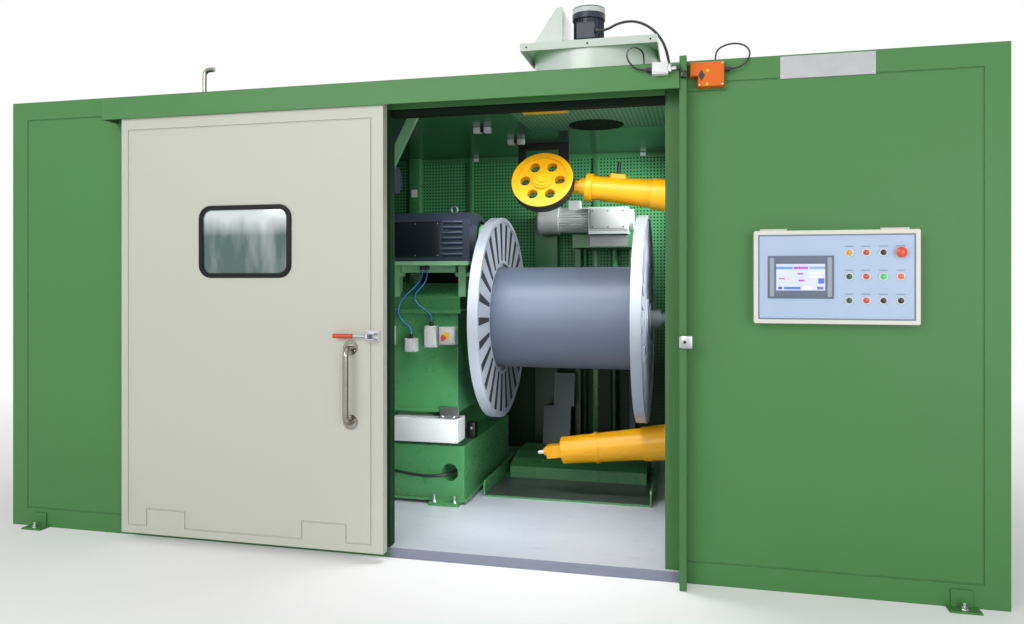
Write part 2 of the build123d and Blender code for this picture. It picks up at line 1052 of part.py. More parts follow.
with BuildPart() as fan_plate:
    with BuildSketch(Plane.XY.offset(fan_plate_top - fan_plate_rim)):
        with Locations(fan_mid):
            Rectangle(fan_plate_size, fan_plate_size)
    extrude(amount=fan_plate_rim)
    with BuildSketch(Plane.XY.offset(fan_plate_top - fan_plate_rim)):
        with Locations(fan_mid):
            Rectangle(fan_plate_size - 2 * fan_plate_thick, fan_plate_size - 2 * fan_plate_thick)
    extrude(amount=fan_plate_rim - fan_plate_thick, mode=Mode.SUBTRACT)
    with BuildSketch(front_plane(fan_y - hood_width / 2)):
        with BuildLine():
            Polyline(
                (datum + fan_x - hood_foot_reach, fan_plate_top),
                (datum + fan_x - hood_top_reach, fan_plate_top + hood_rise),
                (datum + fan_x - hood_top_reach + hood_top_length, fan_plate_top + hood_rise),
                (datum + fan_x - hood_top_reach + hood_top_length, fan_plate_top),
                close=True,
            )
        make_face()
    extrude(amount=-hood_width)
write(fan_plate, "fan_plate")

fan_motor_mid = (datum + fan_motor_x, front + fan_y)
fan_cowl_base = fan_motor_top - fan_cowl_height
with BuildPart() as fan_motor:
    for level, radius, height in (
        (fan_plate_top, fan_flange_radius, fan_flange_thick),
        (fan_plate_top + fan_flange_thick, fan_motor_radius - fan_fin_height, fan_motor_height - fan_flange_thick),
        (fan_cowl_base, fan_cowl_radius, fan_cowl_height),
    ):
        with BuildSketch(Plane.XY.offset(level)):
            with Locations(fan_motor_mid):
                Circle(radius)
        extrude(amount=height)
    with BuildSketch(Plane.XY.offset(fan_plate_top + fan_flange_thick)):
        with Locations(fan_motor_mid):
            with PolarLocations(fan_motor_radius - fan_fin_height, fan_fin_count):
                Rectangle(2 * fan_fin_height, fan_fin_thick)
    extrude(amount=fan_cowl_base - fan_plate_top - fan_flange_thick)
    box(
        fan_motor_x - terminal_width / 2,
        fan_motor_x + terminal_width / 2,
        fan_y - fan_motor_radius - terminal_depth,
        fan_y,
        terminal_base,
        terminal_base + terminal_height,
    )
write(fan_motor, "fan_motor")

# Bent vent pipe
with BuildPart() as roof_vent:
    with BuildLine() as vent_line:
        FilletPolyline(
            place(vent_x, vent_y, cabin_height),
            place(vent_x, vent_y, cabin_height + vent_rise),
            place(vent_x + vent_reach, vent_y, cabin_height + vent_rise),
            radius=vent_bend,
        )
    with BuildSketch(Plane(origin=vent_line.line @ 0, z_dir=vent_line.line % 0)):
        Circle(vent_radius)
    sweep()
    with BuildSketch(Plane.XY.offset(cabin_height)):
        with Locations((datum + vent_x, front + vent_y)):
            Circle(vent_foot_radius)
    extrude(amount=vent_foot_thick)
write(roof_vent, "roof_vent")

# Headstock base on four pads, with a cable hole in its front and the slide block on top
with BuildPart() as headstock_base:
    box(base_start, base_end, base_front, base_back, base_foot, base_top)
    box(
        base_start - base_lip,
        base_end + base_lip,
        base_front - base_lip,
        base_back + base_lip,
        base_foot,
        base_foot + base_lip_thick,
    )
    for pad_x in (base_start + base_pad_inset, base_end - base_pad_inset - base_pad_length):
        for pad_y in (base_front - base_pad_width / 2, base_back - base_pad_width / 2):
            box(pad_x, pad_x + base_pad_length, pad_y, pad_y + base_pad_width, floor_thick, base_foot)
    box(
        base_start + slide_inset_start,
        slide_end,
        slide_front,
        base_back - slide_inset_back,
        base_top,
        slide_top,
    )
    with BuildSketch(front_plane(base_front)):
        with Locations((datum + base_end - base_hole_inset, base_foot + base_hole_rise)):
            Circle(base_hole_radius)
    extrude(amount=-base_hole_depth, mode=Mode.SUBTRACT)
write(headstock_base, "headstock_base")

# Headstock body: a lipped box with a sloped hood, bored for the spindle
spindle_mid = (front + axis_y, axis_z)
spindle_bore = spindle_radius + seat_gap
with BuildPart() as headstock_body:
    with BuildSketch(across_plane(body_start)):
        with BuildLine():
            Polyline(
                (front + body_front, slide_top),
                (front + body_front, body_lip_top),
                (front + body_front + hood_setback, body_lip_top),
                (front + body_front + hood_setback, hood_shoulder),
                (front + body_front + hood_setback + hood_slope_run, hood_ridge),
                (front + body_back - hood_setback - hood_slope_run, hood_ridge),
                (front + body_back - hood_setback, hood_shoulder),
                (front + body_back - hood_setback, body_lip_top),
                (front + body_back, body_lip_top),
                (front + body_back, slide_top),
                close=True,
            )
        make_face()
    extrude(amount=body_length)
    box(
        body_start - body_lip,
        body_end + body_end_lip,
        body_front - body_lip,
        body_back + body_lip,
        body_lip_base,
        body_lip_top,
    )
    box(
        body_start - body_lip,
        body_end,
        body_front - body_lip,
        body_back + body_lip,
        slide_top,
        slide_top + body_foot_lip,
    )
    with BuildSketch(across_plane(body_end)):
        with Locations(spindle_mid):
            Circle(boss_radius)
    extrude(amount=boss_length)
    with BuildSketch(across_plane(spindle_start - seat_gap)):
        with Locations(spindle_mid):
            Circle(spindle_bore)
    extrude(amount=body_end + body_end_lip - spindle_start + seat_gap, mode=Mode.SUBTRACT)
write(headstock_body, "headstock_body")

# Motor plate over the hood, on two lugs that follow its slope and two on its ridge, with a pin
# through each lug and a stiffening beam under the front
hood_fall = (hood_ridge - hood_shoulder) / hood_slope_run
lug_front = motor_plate_front + hinge_setback
lug_toe = hood_shoulder + hood_fall * (lug_front - body_front - hood_setback)
rear_lug = motor_plate_back - 2 * hinge_width
pin_z = motor_plate_base - hinge_height / 2
beam_end = motor_plate_end - plate_beam_inset
with BuildPart() as motor_plate:
    box(
        motor_plate_start,
        motor_plate_end,
        motor_plate_front,
        motor_plate_back,
        motor_plate_base,
        motor_base,
    )
    for hinge_inset in hinge_insets:
        lug_x = motor_plate_end - hinge_inset
        with BuildSketch(across_plane(lug_x)) as lug:
            with BuildLine():
                Polyline(
                    (front + lug_front, lug_toe),
                    (front + lug_front, motor_plate_base),
                    (front + lug_front + hinge_width, motor_plate_base),
                    (front + lug_front + hinge_width, lug_toe + hood_fall * hinge_width),
                    close=True,
                )
            make_face()
        extrude(lug.sketch, amount=hinge_length)
        box(lug_x, lug_x + hinge_length, rear_lug, rear_lug + hinge_width, hood_ridge, motor_plate_base)
        for pin_y in (lug_front + hinge_width / 2, rear_lug + hinge_width / 2):
            with BuildSketch(across_plane(lug_x - hinge_length / 2)) as pin:
                with Locations((front + pin_y, pin_z)):
                    Circle(hinge_pin_radius)
            extrude(pin.sketch, amount=2 * hinge_length)
    box(
        beam_end - plate_beam_length,
        beam_end,
        motor_plate_front + plate_beam_setback,
        motor_plate_front + plate_beam_setback + plate_beam_width,
        motor_plate_base - plate_beam_height,
        motor_plate_base,
    )
write(motor_plate, "motor_plate")

# Square drive motor with bevelled top edges: a sunk cover, a louvred end, a ring towards the
# shaft and a lifting eye
motor_mid_y = motor_front + motor_width / 2
motor_mid_z = motor_base + motor_bell_radius
motor_back = motor_front + motor_width
motor_top = motor_base + motor_height
louvre_start = motor_end - motor_louvre_length - motor_louvre_inset
with BuildPart() as drive_motor:
    with BuildSketch(across_plane(motor_start)):
        with BuildLine():
            Polyline(
                (front + motor_front, motor_base),
                (front + motor_front, motor_top - motor_bevel),
                (front + motor_front + motor_bevel, motor_top),
                (front + motor_back - motor_bevel, motor_top),
                (front + motor_back, motor_top - motor_bevel),
                (front + motor_back, motor_base),
                close=True,
            )
        make_face()
    extrude(amount=motor_length)
    box(
        motor_start + motor_cover_inset,
        motor_start + motor_cover_inset + motor_cover_length,
        motor_front,
        motor_front + motor_cover_recess,
        motor_base + motor_cover_inset,
        motor_top - motor_bevel - motor_cover_inset / 2,
        mode=Mode.SUBTRACT,
    )
    for louvre in range(motor_louvre_count):
        slot_base = motor_base + motor_louvre_rise + louvre * motor_louvre_pitch
        box(
            louvre_start,
            louvre_start + motor_louvre_length,
            motor_front,
            motor_front + motor_louvre_depth,
            slot_base,
            slot_base + motor_louvre_slot,
            mode=Mode.SUBTRACT,
        )
    with BuildSketch(across_plane(motor_end)):
        with Locations((front + motor_mid_y, motor_mid_z)):
            Circle(motor_bell_radius)
            Circle(motor_bell_radius - motor_bell_wall, mode=Mode.SUBTRACT)
    extrude(amount=motor_bell_length)
    with BuildSketch(across_plane(motor_end)):
        with Locations((front + motor_mid_y, motor_mid_z)):
            Circle(motor_bell_radius - motor_bell_wall)
    extrude(amount=motor_bell_length - motor_bell_recess)
    with BuildSketch(across_plane(motor_end)):
        with Locations((front + motor_mid_y, motor_mid_z)):
            Circle(motor_shaft_radius)
    extrude(amount=guard_start - motor_end)
    eye_x = motor_end - eye_inset
    with BuildSketch(Plane.XY.offset(motor_top)):
        with Locations((datum + eye_x, front + motor_mid_y)):
            Circle(eye_radius)
    extrude(amount=eye_wire)
    with Locations(place(eye_x, motor_mid_y, motor_top + eye_radius + eye_wire)):
        Torus(eye_radius, eye_wire, rotation=(90, 0, 0))
write(drive_motor, "drive_motor")

# Belt guard, wide at the spindle and narrow at the motor shaft
with BuildPart() as belt_guard:
    with BuildSketch(across_plane(guard_start)):
        with Locations((front + axis_y, axis_z)):
            Circle(guard_low_radius)
        with Locations((front + motor_mid_y, motor_mid_z)):
            Circle(guard_top_radius)
        make_hull()
    extrude(amount=guard_width)
    fillet(belt_guard.faces().sort_by(Axis.X)[-1].edges(), guard_edge)
    with BuildSketch(across_plane(guard_start)):
        with Locations(spindle_mid):
            Circle(guard_bore_radius)
    extrude(amount=guard_width, mode=Mode.SUBTRACT)
    guard_bracket_y = axis_y + boss_radius
    box(
        body_end,
        guard_start,
        guard_bracket_y,
        guard_bracket_y + guard_bracket_width,
        body_lip_base - guard_bracket_length,
        body_lip_base,
    )
write(belt_guard, "belt_guard")

# Control boxes on the headstock front: the long junction box low down and four small ones
junction_end = base_end - junction_inset
junction_mid = (
    datum + junction_end - junction_width / 2,
    base_top + junction_rise + junction_height / 2,
)
with BuildPart() as headstock_boxes:
    with BuildSketch(front_plane(slide_front)):
        with Locations(junction_mid):
            RectangleRounded(junction_width, junction_height, junction_corner)
    extrude(amount=junction_depth)
    fillet(headstock_boxes.faces().sort_by(Axis.Y)[0].edges(), junction_corner / 2)
    for inset, drop, width, height, depth in zip(
        valve_insets, valve_drops, valve_widths, valve_heights, valve_depths
    ):
        valve_top = body_lip_base - drop
        box(
            body_end - inset,
            body_end - inset + width,
            body_front - depth,
            body_front,
            valve_top - height,
            valve_top,
        )
write(headstock_boxes, "headstock_boxes")

# Reel
reel_mid = (front + axis_y, axis_z)
reel_bore = spindle_radius + seat_gap


def wedge(length, inner_width, outer_width):
    # A rib's outline along the radius, narrow towards the hub
    Polygon(
        (-length / 2, -inner_width / 2),
        (length / 2, -outer_width / 2),
        (length / 2, outer_width / 2),
        (-length / 2, inner_width / 2),
    )


def pressed_flange(outer_face, outward):
    # A pressed disc inside a rim. Its hollow ribs stand out on the outer side and show as grooves
    # on the inner side; outward is the side of the outer face, -1 or 1 along the length.
    inner_face = outer_face - outward * flange_width
    web_face = inner_face + outward * web_setback
    rib_start = web_opening_radius
    rib_end = flange_radius - flange_rim / 2
    groove_start = hub_ring_radius + rib_groove_margin
    groove_end = flange_radius - flange_rim - rib_groove_margin
    with BuildSketch(across_plane(inner_face)) as rim:
        with Locations(reel_mid):
            Circle(flange_radius)
            Circle(flange_radius - flange_rim, mode=Mode.SUBTRACT)
    extrude(rim.sketch, amount=outward * flange_width)
    with BuildSketch(across_plane(web_face)) as web:
        with Locations(reel_mid):
            Circle(flange_radius - flange_rim / 2)
            Circle(web_opening_radius, mode=Mode.SUBTRACT)
    extrude(web.sketch, amount=outward * web_thick)
    with BuildSketch(across_plane(web_face)) as ribs:
        with Locations(reel_mid):
            with PolarLocations((rib_start + rib_end) / 2, rib_count):
                wedge(rib_end - rib_start, rib_inner_width, rib_outer_width)
    extrude(ribs.sketch, amount=outward * (flange_width - web_setback - rib_setback))
    with BuildSketch(across_plane(outer_face - outward * (hub_ring_setback + hub_ring_thick))) as hub_ring:
        with Locations(reel_mid):
            Circle(hub_ring_radius)
    extrude(hub_ring.sketch, amount=outward * hub_ring_thick)
    with BuildSketch(across_plane(outer_face - outward * hub_ring_setback)) as hub_boss:
        with Locations(reel_mid):
            Circle(hub_boss_radius)
    extrude(hub_boss.sketch, amount=outward * hub_ring_setback)
    with BuildSketch(across_plane(inner_face)) as grooves:
        with Locations(reel_mid):
            with PolarLocations((groove_start + groove_end) / 2, rib_count):
                wedge(groove_end - groove_start, rib_groove_inner, rib_groove_outer)
    extrude(grooves.sketch, amount=outward * rib_groove_depth, mode=Mode.SUBTRACT)
    with BuildSketch(across_plane(inner_face)) as holes:
        with Locations(reel_mid):
            Circle(reel_bore)
            with PolarLocations(driver_slot_radius, driver_slot_count):
                SlotOverall(driver_slot_length, driver_slot_width, rotation=driver_slot_turn)
    extrude(holes.sketch, amount=outward * flange_width, mode=Mode.SUBTRACT)


with BuildPart() as reel_flange_left:
    pressed_flange(reel_start, -1)
write(reel_flange_left, "reel_flange_left")

with BuildPart() as reel_flange_right:
    pressed_flange(reel_end, 1)
write(reel_flange_right, "reel_flange_right")

# The barrel stands between the two hub rings
barrel_start = reel_start + hub_ring_setback + hub_ring_thick
barrel_end = reel_end - hub_ring_setback - hub_ring_thick
with BuildPart() as reel_barrel:
    with BuildSketch(across_plane(barrel_start)):
        with Locations(reel_mid):
            Circle(barrel_radius)
            Circle(barrel_radius - barrel_wall, mode=Mode.SUBTRACT)
    extrude(amount=barrel_end - barrel_start)
write(reel_barrel, "reel_barrel")

with BuildPart() as reel_spindle:
    for start, radius, length in (
        (spindle_start, spindle_radius, spindle_end - spindle_start),
        (reel_end, spindle_collar_radius, spindle_collar_width),
        (spindle_end, spindle_nose_radius, spindle_nose_length),
        (guard_end + seat_gap, spindle_collar_radius, reel_start - guard_end - seat_gap),
    ):
        with BuildSketch(across_plane(start)):
            with Locations(reel_mid):
                Circle(radius)
        extrude(amount=length)
write(reel_spindle, "reel_spindle")

# Flyer carrier: a long plate with an eye for each arm, and the hollow shaft behind it
flyer_mid = (front + axis_y, axis_z)
with BuildPart() as flyer_carrier:
    with BuildSketch(across_plane(flyer_root)):
        with Locations(flyer_mid):
            Circle(flyer_hub_radius)
        for side in (1, -1):
            with Locations((front + axis_y, axis_z + side * flyer_root_offset)):
                Circle(flyer_eye_radius)
        make_hull()
    extrude(amount=flyer_carrier_thick)
    with BuildSketch(across_plane(flyer_root)):
        with Locations(flyer_mid):
            Circle(flyer_shaft_bore)
    extrude(amount=flyer_carrier_thick, mode=Mode.SUBTRACT)
write(flyer_carrier, "flyer_carrier")

with BuildPart() as flyer_shaft:
    with BuildSketch(across_plane(shaft_start)):
        with Locations(flyer_mid):
            Circle(flyer_shaft_radius)
            Circle(flyer_shaft_bore, mode=Mode.SUBTRACT)
    extrude(amount=flyer_shaft_end - shaft_start)
write(flyer_shaft, "flyer_shaft")

splay = math.radians(flyer_splay)


def arm_plane(side):
    # Own x along the arm from its root, own y away from the spindle axis
    return Plane(
        origin=place(flyer_root, axis_y, axis_z + side * flyer_root_offset),
        x_dir=(-math.cos(splay), 0, side * math.sin(splay)),
        z_dir=(0, side, 0),
    )


upper = arm_plane(1)
lower = arm_plane(-1)
arm_sink = (arm_root_radius + arm_sleeve_thick) * math.tan(splay)
lower_sink = (lower_root_radius + arm_sleeve_thick) * math.tan(splay)
spigot_end = arm_length + arm_collar_width + arm_spigot_length
neck_start = upper.from_local_coords(Vector(spigot_end, 0, 0))
pulley_axis = Vector(0, -math.cos(math.radians(pulley_tilt)), math.sin(math.radians(pulley_tilt)))
neck_end = Vector(datum + pulley_x, neck_start.Y - neck_forward, neck_start.Z - neck_drop)
pulley_mid = neck_end + pulley_axis * pulley_stand
axle_length = pulley_stand + pulley_width / 2 + pulley_hub_proud

# Upper arm: a tapered tube in a root sleeve, with a collar, a saddle pad with a post, and the neck
# that carries the pulley
sleeve_step = (arm_root_radius - arm_tip_radius) * arm_sleeve_length / arm_length
with BuildPart() as upper_arm:
    with BuildSketch(upper):
        with BuildLine():
            Polyline(
                (0, 0),
                (arm_sink, arm_root_radius + arm_sleeve_thick),
                (arm_sleeve_length, arm_root_radius - sleeve_step + arm_sleeve_thick),
                (arm_sleeve_length, arm_root_radius - sleeve_step),
                (arm_length, arm_tip_radius),
                (arm_length, arm_collar_radius),
                (arm_length + arm_collar_width, arm_collar_radius),
                (arm_length + arm_collar_width, arm_spigot_radius),
                (spigot_end, arm_spigot_radius),
                (spigot_end, 0),
                close=True,
            )
        make_face()
    revolve(axis=Axis(upper.origin, upper.x_dir))
    with BuildSketch(Plane(origin=neck_start, z_dir=neck_end - neck_start)):
        Circle(neck_radius)
    extrude(amount=(neck_end - neck_start).length)
    with BuildSketch(Plane(origin=neck_end - pulley_axis * neck_radius, z_dir=pulley_axis)):
        Circle(neck_radius)
    extrude(amount=neck_radius + pulley_stand - pulley_width / 2 - pulley_hub_proud - seat_gap)
    with BuildSketch(Plane(origin=neck_end, z_dir=pulley_axis)):
        Circle(pulley_bore - axle_clearance)
    extrude(amount=axle_length + seat_gap)
    with BuildSketch(Plane(origin=neck_end + pulley_axis * (axle_length + seat_gap), z_dir=pulley_axis)):
        Circle(axle_cap_radius)
    extrude(amount=axle_cap_thick)
    pad_foot = upper.from_local_coords(Vector(arm_pad_place, 0, 0))
    pad_plane = Plane(origin=pad_foot, x_dir=upper.x_dir, z_dir=upper.y_dir)
    with BuildSketch(pad_plane):
        Rectangle(arm_pad_length, arm_pad_width)
        chamfer(vertices(), arm_pad_edge)
    extrude(amount=arm_tip_radius + arm_pad_height)
    with BuildSketch(pad_plane):
        Circle(arm_post_radius)
    extrude(amount=arm_tip_radius + arm_pad_height + arm_post_height)
write(upper_arm, "upper_arm")

# Lower arm: the counter-arm, with a root sleeve, a ring, a square block, a collar and a nose pin
lower_step = (lower_root_radius - lower_tip_radius) / lower_length
lower_sleeve_radius = lower_root_radius - lower_step * lower_sleeve_length
lower_ring_radius = lower_root_radius - lower_step * lower_ring_place + lower_ring_proud
with BuildPart() as lower_arm:
    with BuildSketch(lower):
        with BuildLine():
            Polyline(
                (0, 0),
                (lower_sink, lower_root_radius + arm_sleeve_thick),
                (lower_sleeve_length, lower_sleeve_radius + arm_sleeve_thick),
                (lower_sleeve_length, lower_sleeve_radius),
                (lower_length, lower_tip_radius),
                (lower_length, 0),
                close=True,
            )
        make_face()
    revolve(axis=Axis(lower.origin, lower.x_dir))
    ring_mid = lower.from_local_coords(Vector(lower_ring_place, 0, 0))
    with BuildSketch(Plane(origin=ring_mid, z_dir=lower.x_dir)):
        Circle(lower_ring_radius)
    extrude(amount=lower_ring_width)
    block_mid = lower.from_local_coords(Vector(lower_length, 0, 0))
    with BuildSketch(Plane(origin=block_mid, x_dir=(0, 1, 0), z_dir=lower.x_dir)):
        Rectangle(lower_block, lower_block)
    extrude(amount=lower_block_length)
    collar_mid = lower.from_local_coords(Vector(lower_length + lower_block_length, 0, 0))
    with BuildSketch(Plane(origin=collar_mid, z_dir=lower.x_dir)):
        Circle(lower_collar_radius)
    extrude(amount=lower_collar_length)
    with BuildSketch(Plane(origin=collar_mid, z_dir=lower.x_dir)):
        Circle(lower_nose_radius)
    extrude(amount=lower_collar_length + lower_nose_length)
write(lower_arm, "lower_arm")

# Grooved pulley with a dished web and round holes
pulley_plane = Plane(origin=pulley_mid, x_dir=(1, 0, 0), z_dir=pulley_axis)
pulley_half = pulley_width / 2
with BuildPart() as flyer_pulley:
    with BuildSketch(Plane(origin=pulley_mid, x_dir=(1, 0, 0), z_dir=pulley_axis.cross(Vector(1, 0, 0)) * -1)):
        with BuildLine():
            Polyline(
                (pulley_bore, -pulley_half - pulley_hub_proud),
                (pulley_hub_step_radius, -pulley_half - pulley_hub_proud),
                (pulley_hub_step_radius, -pulley_half - pulley_hub_proud + pulley_hub_step),
                (pulley_hub_radius, -pulley_half - pulley_hub_proud + pulley_hub_step),
                (pulley_hub_radius, -pulley_half + pulley_web_recess),
                (pulley_radius - pulley_rim, -pulley_half + pulley_web_recess),
                (pulley_radius - pulley_rim, -pulley_half),
                (pulley_radius, -pulley_half),
                (pulley_radius, -pulley_groove_half),
                (pulley_radius - pulley_groove_depth, 0),
                (pulley_radius, pulley_groove_half),
                (pulley_radius, pulley_half),
                (pulley_radius - pulley_rim, pulley_half),
                (pulley_radius - pulley_rim, pulley_half - pulley_web_recess),
                (pulley_hub_radius, pulley_half - pulley_web_recess),
                (pulley_hub_radius, pulley_half + pulley_hub_proud - pulley_hub_step),
                (pulley_hub_step_radius, pulley_half + pulley_hub_proud - pulley_hub_step),
                (pulley_hub_step_radius, pulley_half + pulley_hub_proud),
                (pulley_bore, pulley_half + pulley_hub_proud),
                close=True,
            )
        make_face()
    revolve(axis=Axis(pulley_mid, pulley_axis))
    with BuildSketch(pulley_plane.offset(-pulley_half)):
        with PolarLocations(pulley_hole_place, pulley_hole_count):
            Circle(pulley_hole_radius)
    extrude(amount=pulley_width, mode=Mode.SUBTRACT)
write(flyer_pulley, "flyer_pulley")

# Pedestal: a base plate with a closed, tapered housing for the shaft bearings
with BuildPart() as flyer_pedestal:
    box(
        pedestal_start - pedestal_foot,
        pedestal_end + pedestal_foot,
        axis_y - pedestal_half_width - pedestal_foot,
        axis_y + pedestal_half_width + pedestal_foot,
        floor_thick,
        floor_thick + pedestal_plate,
    )
    with BuildSketch(across_plane(pedestal_start)):
        with Locations(flyer_mid):
            Circle(pedestal_head_radius)
        with Locations((front + axis_y, floor_thick + pedestal_plate + pedestal_foot / 2)):
            Rectangle(2 * pedestal_half_width, pedestal_foot)
        make_hull()
    extrude(amount=pedestal_length)
    with BuildSketch(across_plane(pedestal_start)):
        with Locations(flyer_mid):
            Circle(flyer_shaft_radius + pedestal_bore_clearance)
    extrude(amount=pedestal_length, mode=Mode.SUBTRACT)
write(flyer_pedestal, "flyer_pedestal")

# Flanged bush that the strand comes in through
with BuildPart() as strand_inlet:
    with BuildSketch(across_plane(right_end - wall)):
        with Locations(flyer_mid):
            Circle(inlet_radius)
    extrude(amount=wall)
    with BuildSketch(across_plane(right_end)):
        with Locations(flyer_mid):
            Circle(inlet_flange_radius)
    extrude(amount=inlet_flange_thick)
    with BuildSketch(across_plane(right_end - wall)):
        with Locations(flyer_mid):
            Circle(inlet_bore)
    extrude(amount=wall + inlet_flange_thick, mode=Mode.SUBTRACT)
write(strand_inlet, "strand_inlet")

# Rear liner: a sheet on the rear wall behind a frame of bars, one bay after another
liner_start = left_end + wall
liner_end = right_end - wall
bay = (liner_end - liner_start) / liner_bays
with BuildPart() as rear_liner:
    box(liner_start, liner_end, liner_front, rear_face, floor_thick, ceiling)
    for index in range(liner_bays):
        bay_start = liner_start + index * bay
        box(
            bay_start + liner_bar / 2,
            bay_start + bay - liner_bar / 2,
            liner_front,
            rear_face - liner_sheet,
            floor_thick + liner_bar,
            ceiling - liner_bar,
            mode=Mode.SUBTRACT,
        )
write(rear_liner, "rear_liner")

# Stand for the geared motor: a column, a beam on two legs, and the rod and the cylinder below it
leg_front = liner_front - stand_leg_depth
with BuildPart() as gearmotor_stand:
    box(stand_start, stand_end, stand_front, liner_front, stand_base, stand_top)
    for leg_start in (stand_start, stand_end - stand_leg_width):
        box(leg_start, leg_start + stand_leg_width, leg_front, liner_front, floor_thick, stand_base)
    box(column_start, column_start + column_width, leg_front, liner_front, floor_thick, column_height)
    for rod_x, rod_radius in (
        (stand_start + stand_rod_inset, stand_rod_radius),
        (stand_end - stand_cylinder_inset, stand_cylinder_radius),
    ):
        with BuildSketch(Plane.XY.offset(floor_thick)):
            with Locations((datum + rod_x, front + leg_front + stand_leg_depth / 2)):
                Circle(rod_radius)
        extrude(amount=stand_base - floor_thick)
write(gearmotor_stand, "gearmotor_stand")

# Geared motor: fan cowl, finned motor with a terminal box, gear case on a foot and a flange
gear_mid = (front + gear_y, gear_z)
fin_start = gear_start + gear_cowl_length
case_start = fin_start + gear_motor_length
case_end = case_start + gear_case_length
with BuildPart() as gearmotor:
    with BuildSketch(across_plane(gear_start)):
        with Locations(gear_mid):
            Circle(gear_cowl_radius)
    extrude(amount=gear_cowl_length)
    fillet(gearmotor.faces().sort_by(Axis.X)[0].edges(), gear_cowl_edge)
    with BuildSketch(across_plane(fin_start)):
        with Locations(gear_mid):
            Circle(gear_motor_radius - gear_fin_height)
            with PolarLocations(gear_motor_radius - gear_fin_height, gear_fin_count):
                Rectangle(2 * gear_fin_height, gear_fin_thick)
    extrude(amount=gear_motor_length)
    with BuildSketch(across_plane(case_start)):
        with Locations(gear_mid):
            RectangleRounded(2 * gear_case_half_width, 2 * gear_case_half_height, gear_case_corner)
    extrude(amount=gear_case_length)
    with BuildSketch(across_plane(case_end)):
        with Locations(gear_mid):
            Circle(gear_flange_radius)
    extrude(amount=gear_flange_length)
    terminal_mid_x = fin_start + gear_motor_length / 2
    box(
        terminal_mid_x - gear_terminal_size / 2,
        terminal_mid_x + gear_terminal_size / 2,
        gear_y - gear_terminal_size / 2,
        gear_y + gear_terminal_size / 2,
        gear_z,
        gear_z + gear_motor_radius + gear_terminal_height,
    )
    box(
        case_start,
        case_end,
        gear_y - gear_case_half_width,
        gear_y + gear_case_half_width,
        stand_top,
        gear_z - gear_case_half_height,
    )
write(gearmotor, "gearmotor")

# Small motor on a wall bracket, behind the headstock
with BuildPart() as rear_motor:
    with BuildSketch(across_plane(rear_motor_start)):
        with Locations((front + rear_motor_y, rear_motor_z)):
            Circle(rear_motor_radius)
    extrude(amount=rear_motor_length)
    box(
        rear_motor_start,
        rear_motor_start + rear_motor_length / 2,
        rear_motor_y,
        rear_face - liner_sheet,
        rear_motor_z - rear_motor_bracket / 2,
        rear_motor_z + rear_motor_bracket / 2,
    )
write(rear_motor, "rear_motor")

# Reel table on the floor: a plate with two side plates and a humped cover at the back
table_top = floor_thick + table_plate
hump_start = table_start + hump_inset
hump_length = table_end - table_start - 2 * hump_inset
hump_front = axis_y + hump_front_reach
hump_slope_end = hump_front + hump_slope_run
hump_top_start = hump_slope_end + hump_top_run
hump_shoulder = table_top + hump_step + hump_slope_rise
with BuildPart() as reel_table:
    box(table_start, table_end, table_front, table_back, floor_thick, table_top)
    for side_start in (table_start, table_end - table_side_thick):
        with BuildSketch(across_plane(side_start)) as side_plate:
            with BuildLine():
                Polyline(
                    (front + table_front, table_top),
                    (front + table_front, table_top + table_side_height - table_side_chamfer),
                    (front + table_front + table_side_chamfer, table_top + table_side_height),
                    (front + table_back, table_top + table_side_height),
                    (front + table_back, table_top),
                    close=True,
                )
            make_face()
        extrude(side_plate.sketch, amount=table_side_thick)
    with BuildSketch(across_plane(hump_start)) as hump:
        with BuildLine():
            Polyline(
                (front + hump_front, table_top),
                (front + hump_front, table_top + hump_step),
                (front + hump_slope_end, hump_shoulder),
                (front + hump_top_start, hump_shoulder + hump_top_rise),
                (front + table_back, hump_shoulder + hump_top_rise),
                (front + table_back, table_top),
                close=True,
            )
        make_face()
    extrude(hump.sketch, amount=hump_length)
write(reel_table, "reel_table")

# Lift lever behind the table: a wide lower plate and a narrower upper one that leans back
lift_front = table_back + lift_gap
with BuildPart() as lift_arm:
    for plate_start, plate_width, foot_z, top_z in (
        (lift_start, lift_low_width, floor_thick, lift_step_z),
        (lift_start + lift_high_inset, lift_high_width, lift_step_z, lift_head_z),
    ):
        foot_y = lift_front + lift_lean * (foot_z - floor_thick) / (lift_head_z - floor_thick)
        top_y = lift_front + lift_lean * (top_z - floor_thick) / (lift_head_z - floor_thick)
        with BuildSketch(across_plane(plate_start)):
            with BuildLine():
                Polyline(
                    (front + foot_y, foot_z),
                    (front + top_y, top_z),
                    (front + top_y + lift_depth, top_z),
                    (front + foot_y + lift_depth, foot_z),
                    close=True,
                )
            make_face()
        extrude(amount=plate_width)
write(lift_arm, "lift_arm")

# Strut from the ceiling down to the motor plate
brace_top = place(brace_top_x, brace_top_y, ceiling)
brace_foot = place(motor_plate_start + brace_foot_inset, motor_plate_front + brace_foot_inset, motor_base)
with BuildPart() as ceiling_brace:
    for end in (brace_foot, brace_top):
        with BuildSketch(Plane.XY.offset(end.Z)):
            with Locations((end.X, end.Y)):
                Rectangle(brace_width, brace_thick)
    loft()
write(ceiling_brace, "ceiling_brace")


# Cables and hoses: straight runs joined by arcs as large as the runs allow
def cable_radii(points):
    radii = []
    for before, here, after in zip(points, points[1:], points[2:]):
        turn = math.radians((here - before).get_angle(after - here))
        shorter = min((here - before).length, (after - here).length)
        radii.append(bend_share * shorter / math.tan(turn / 2))
    return radii


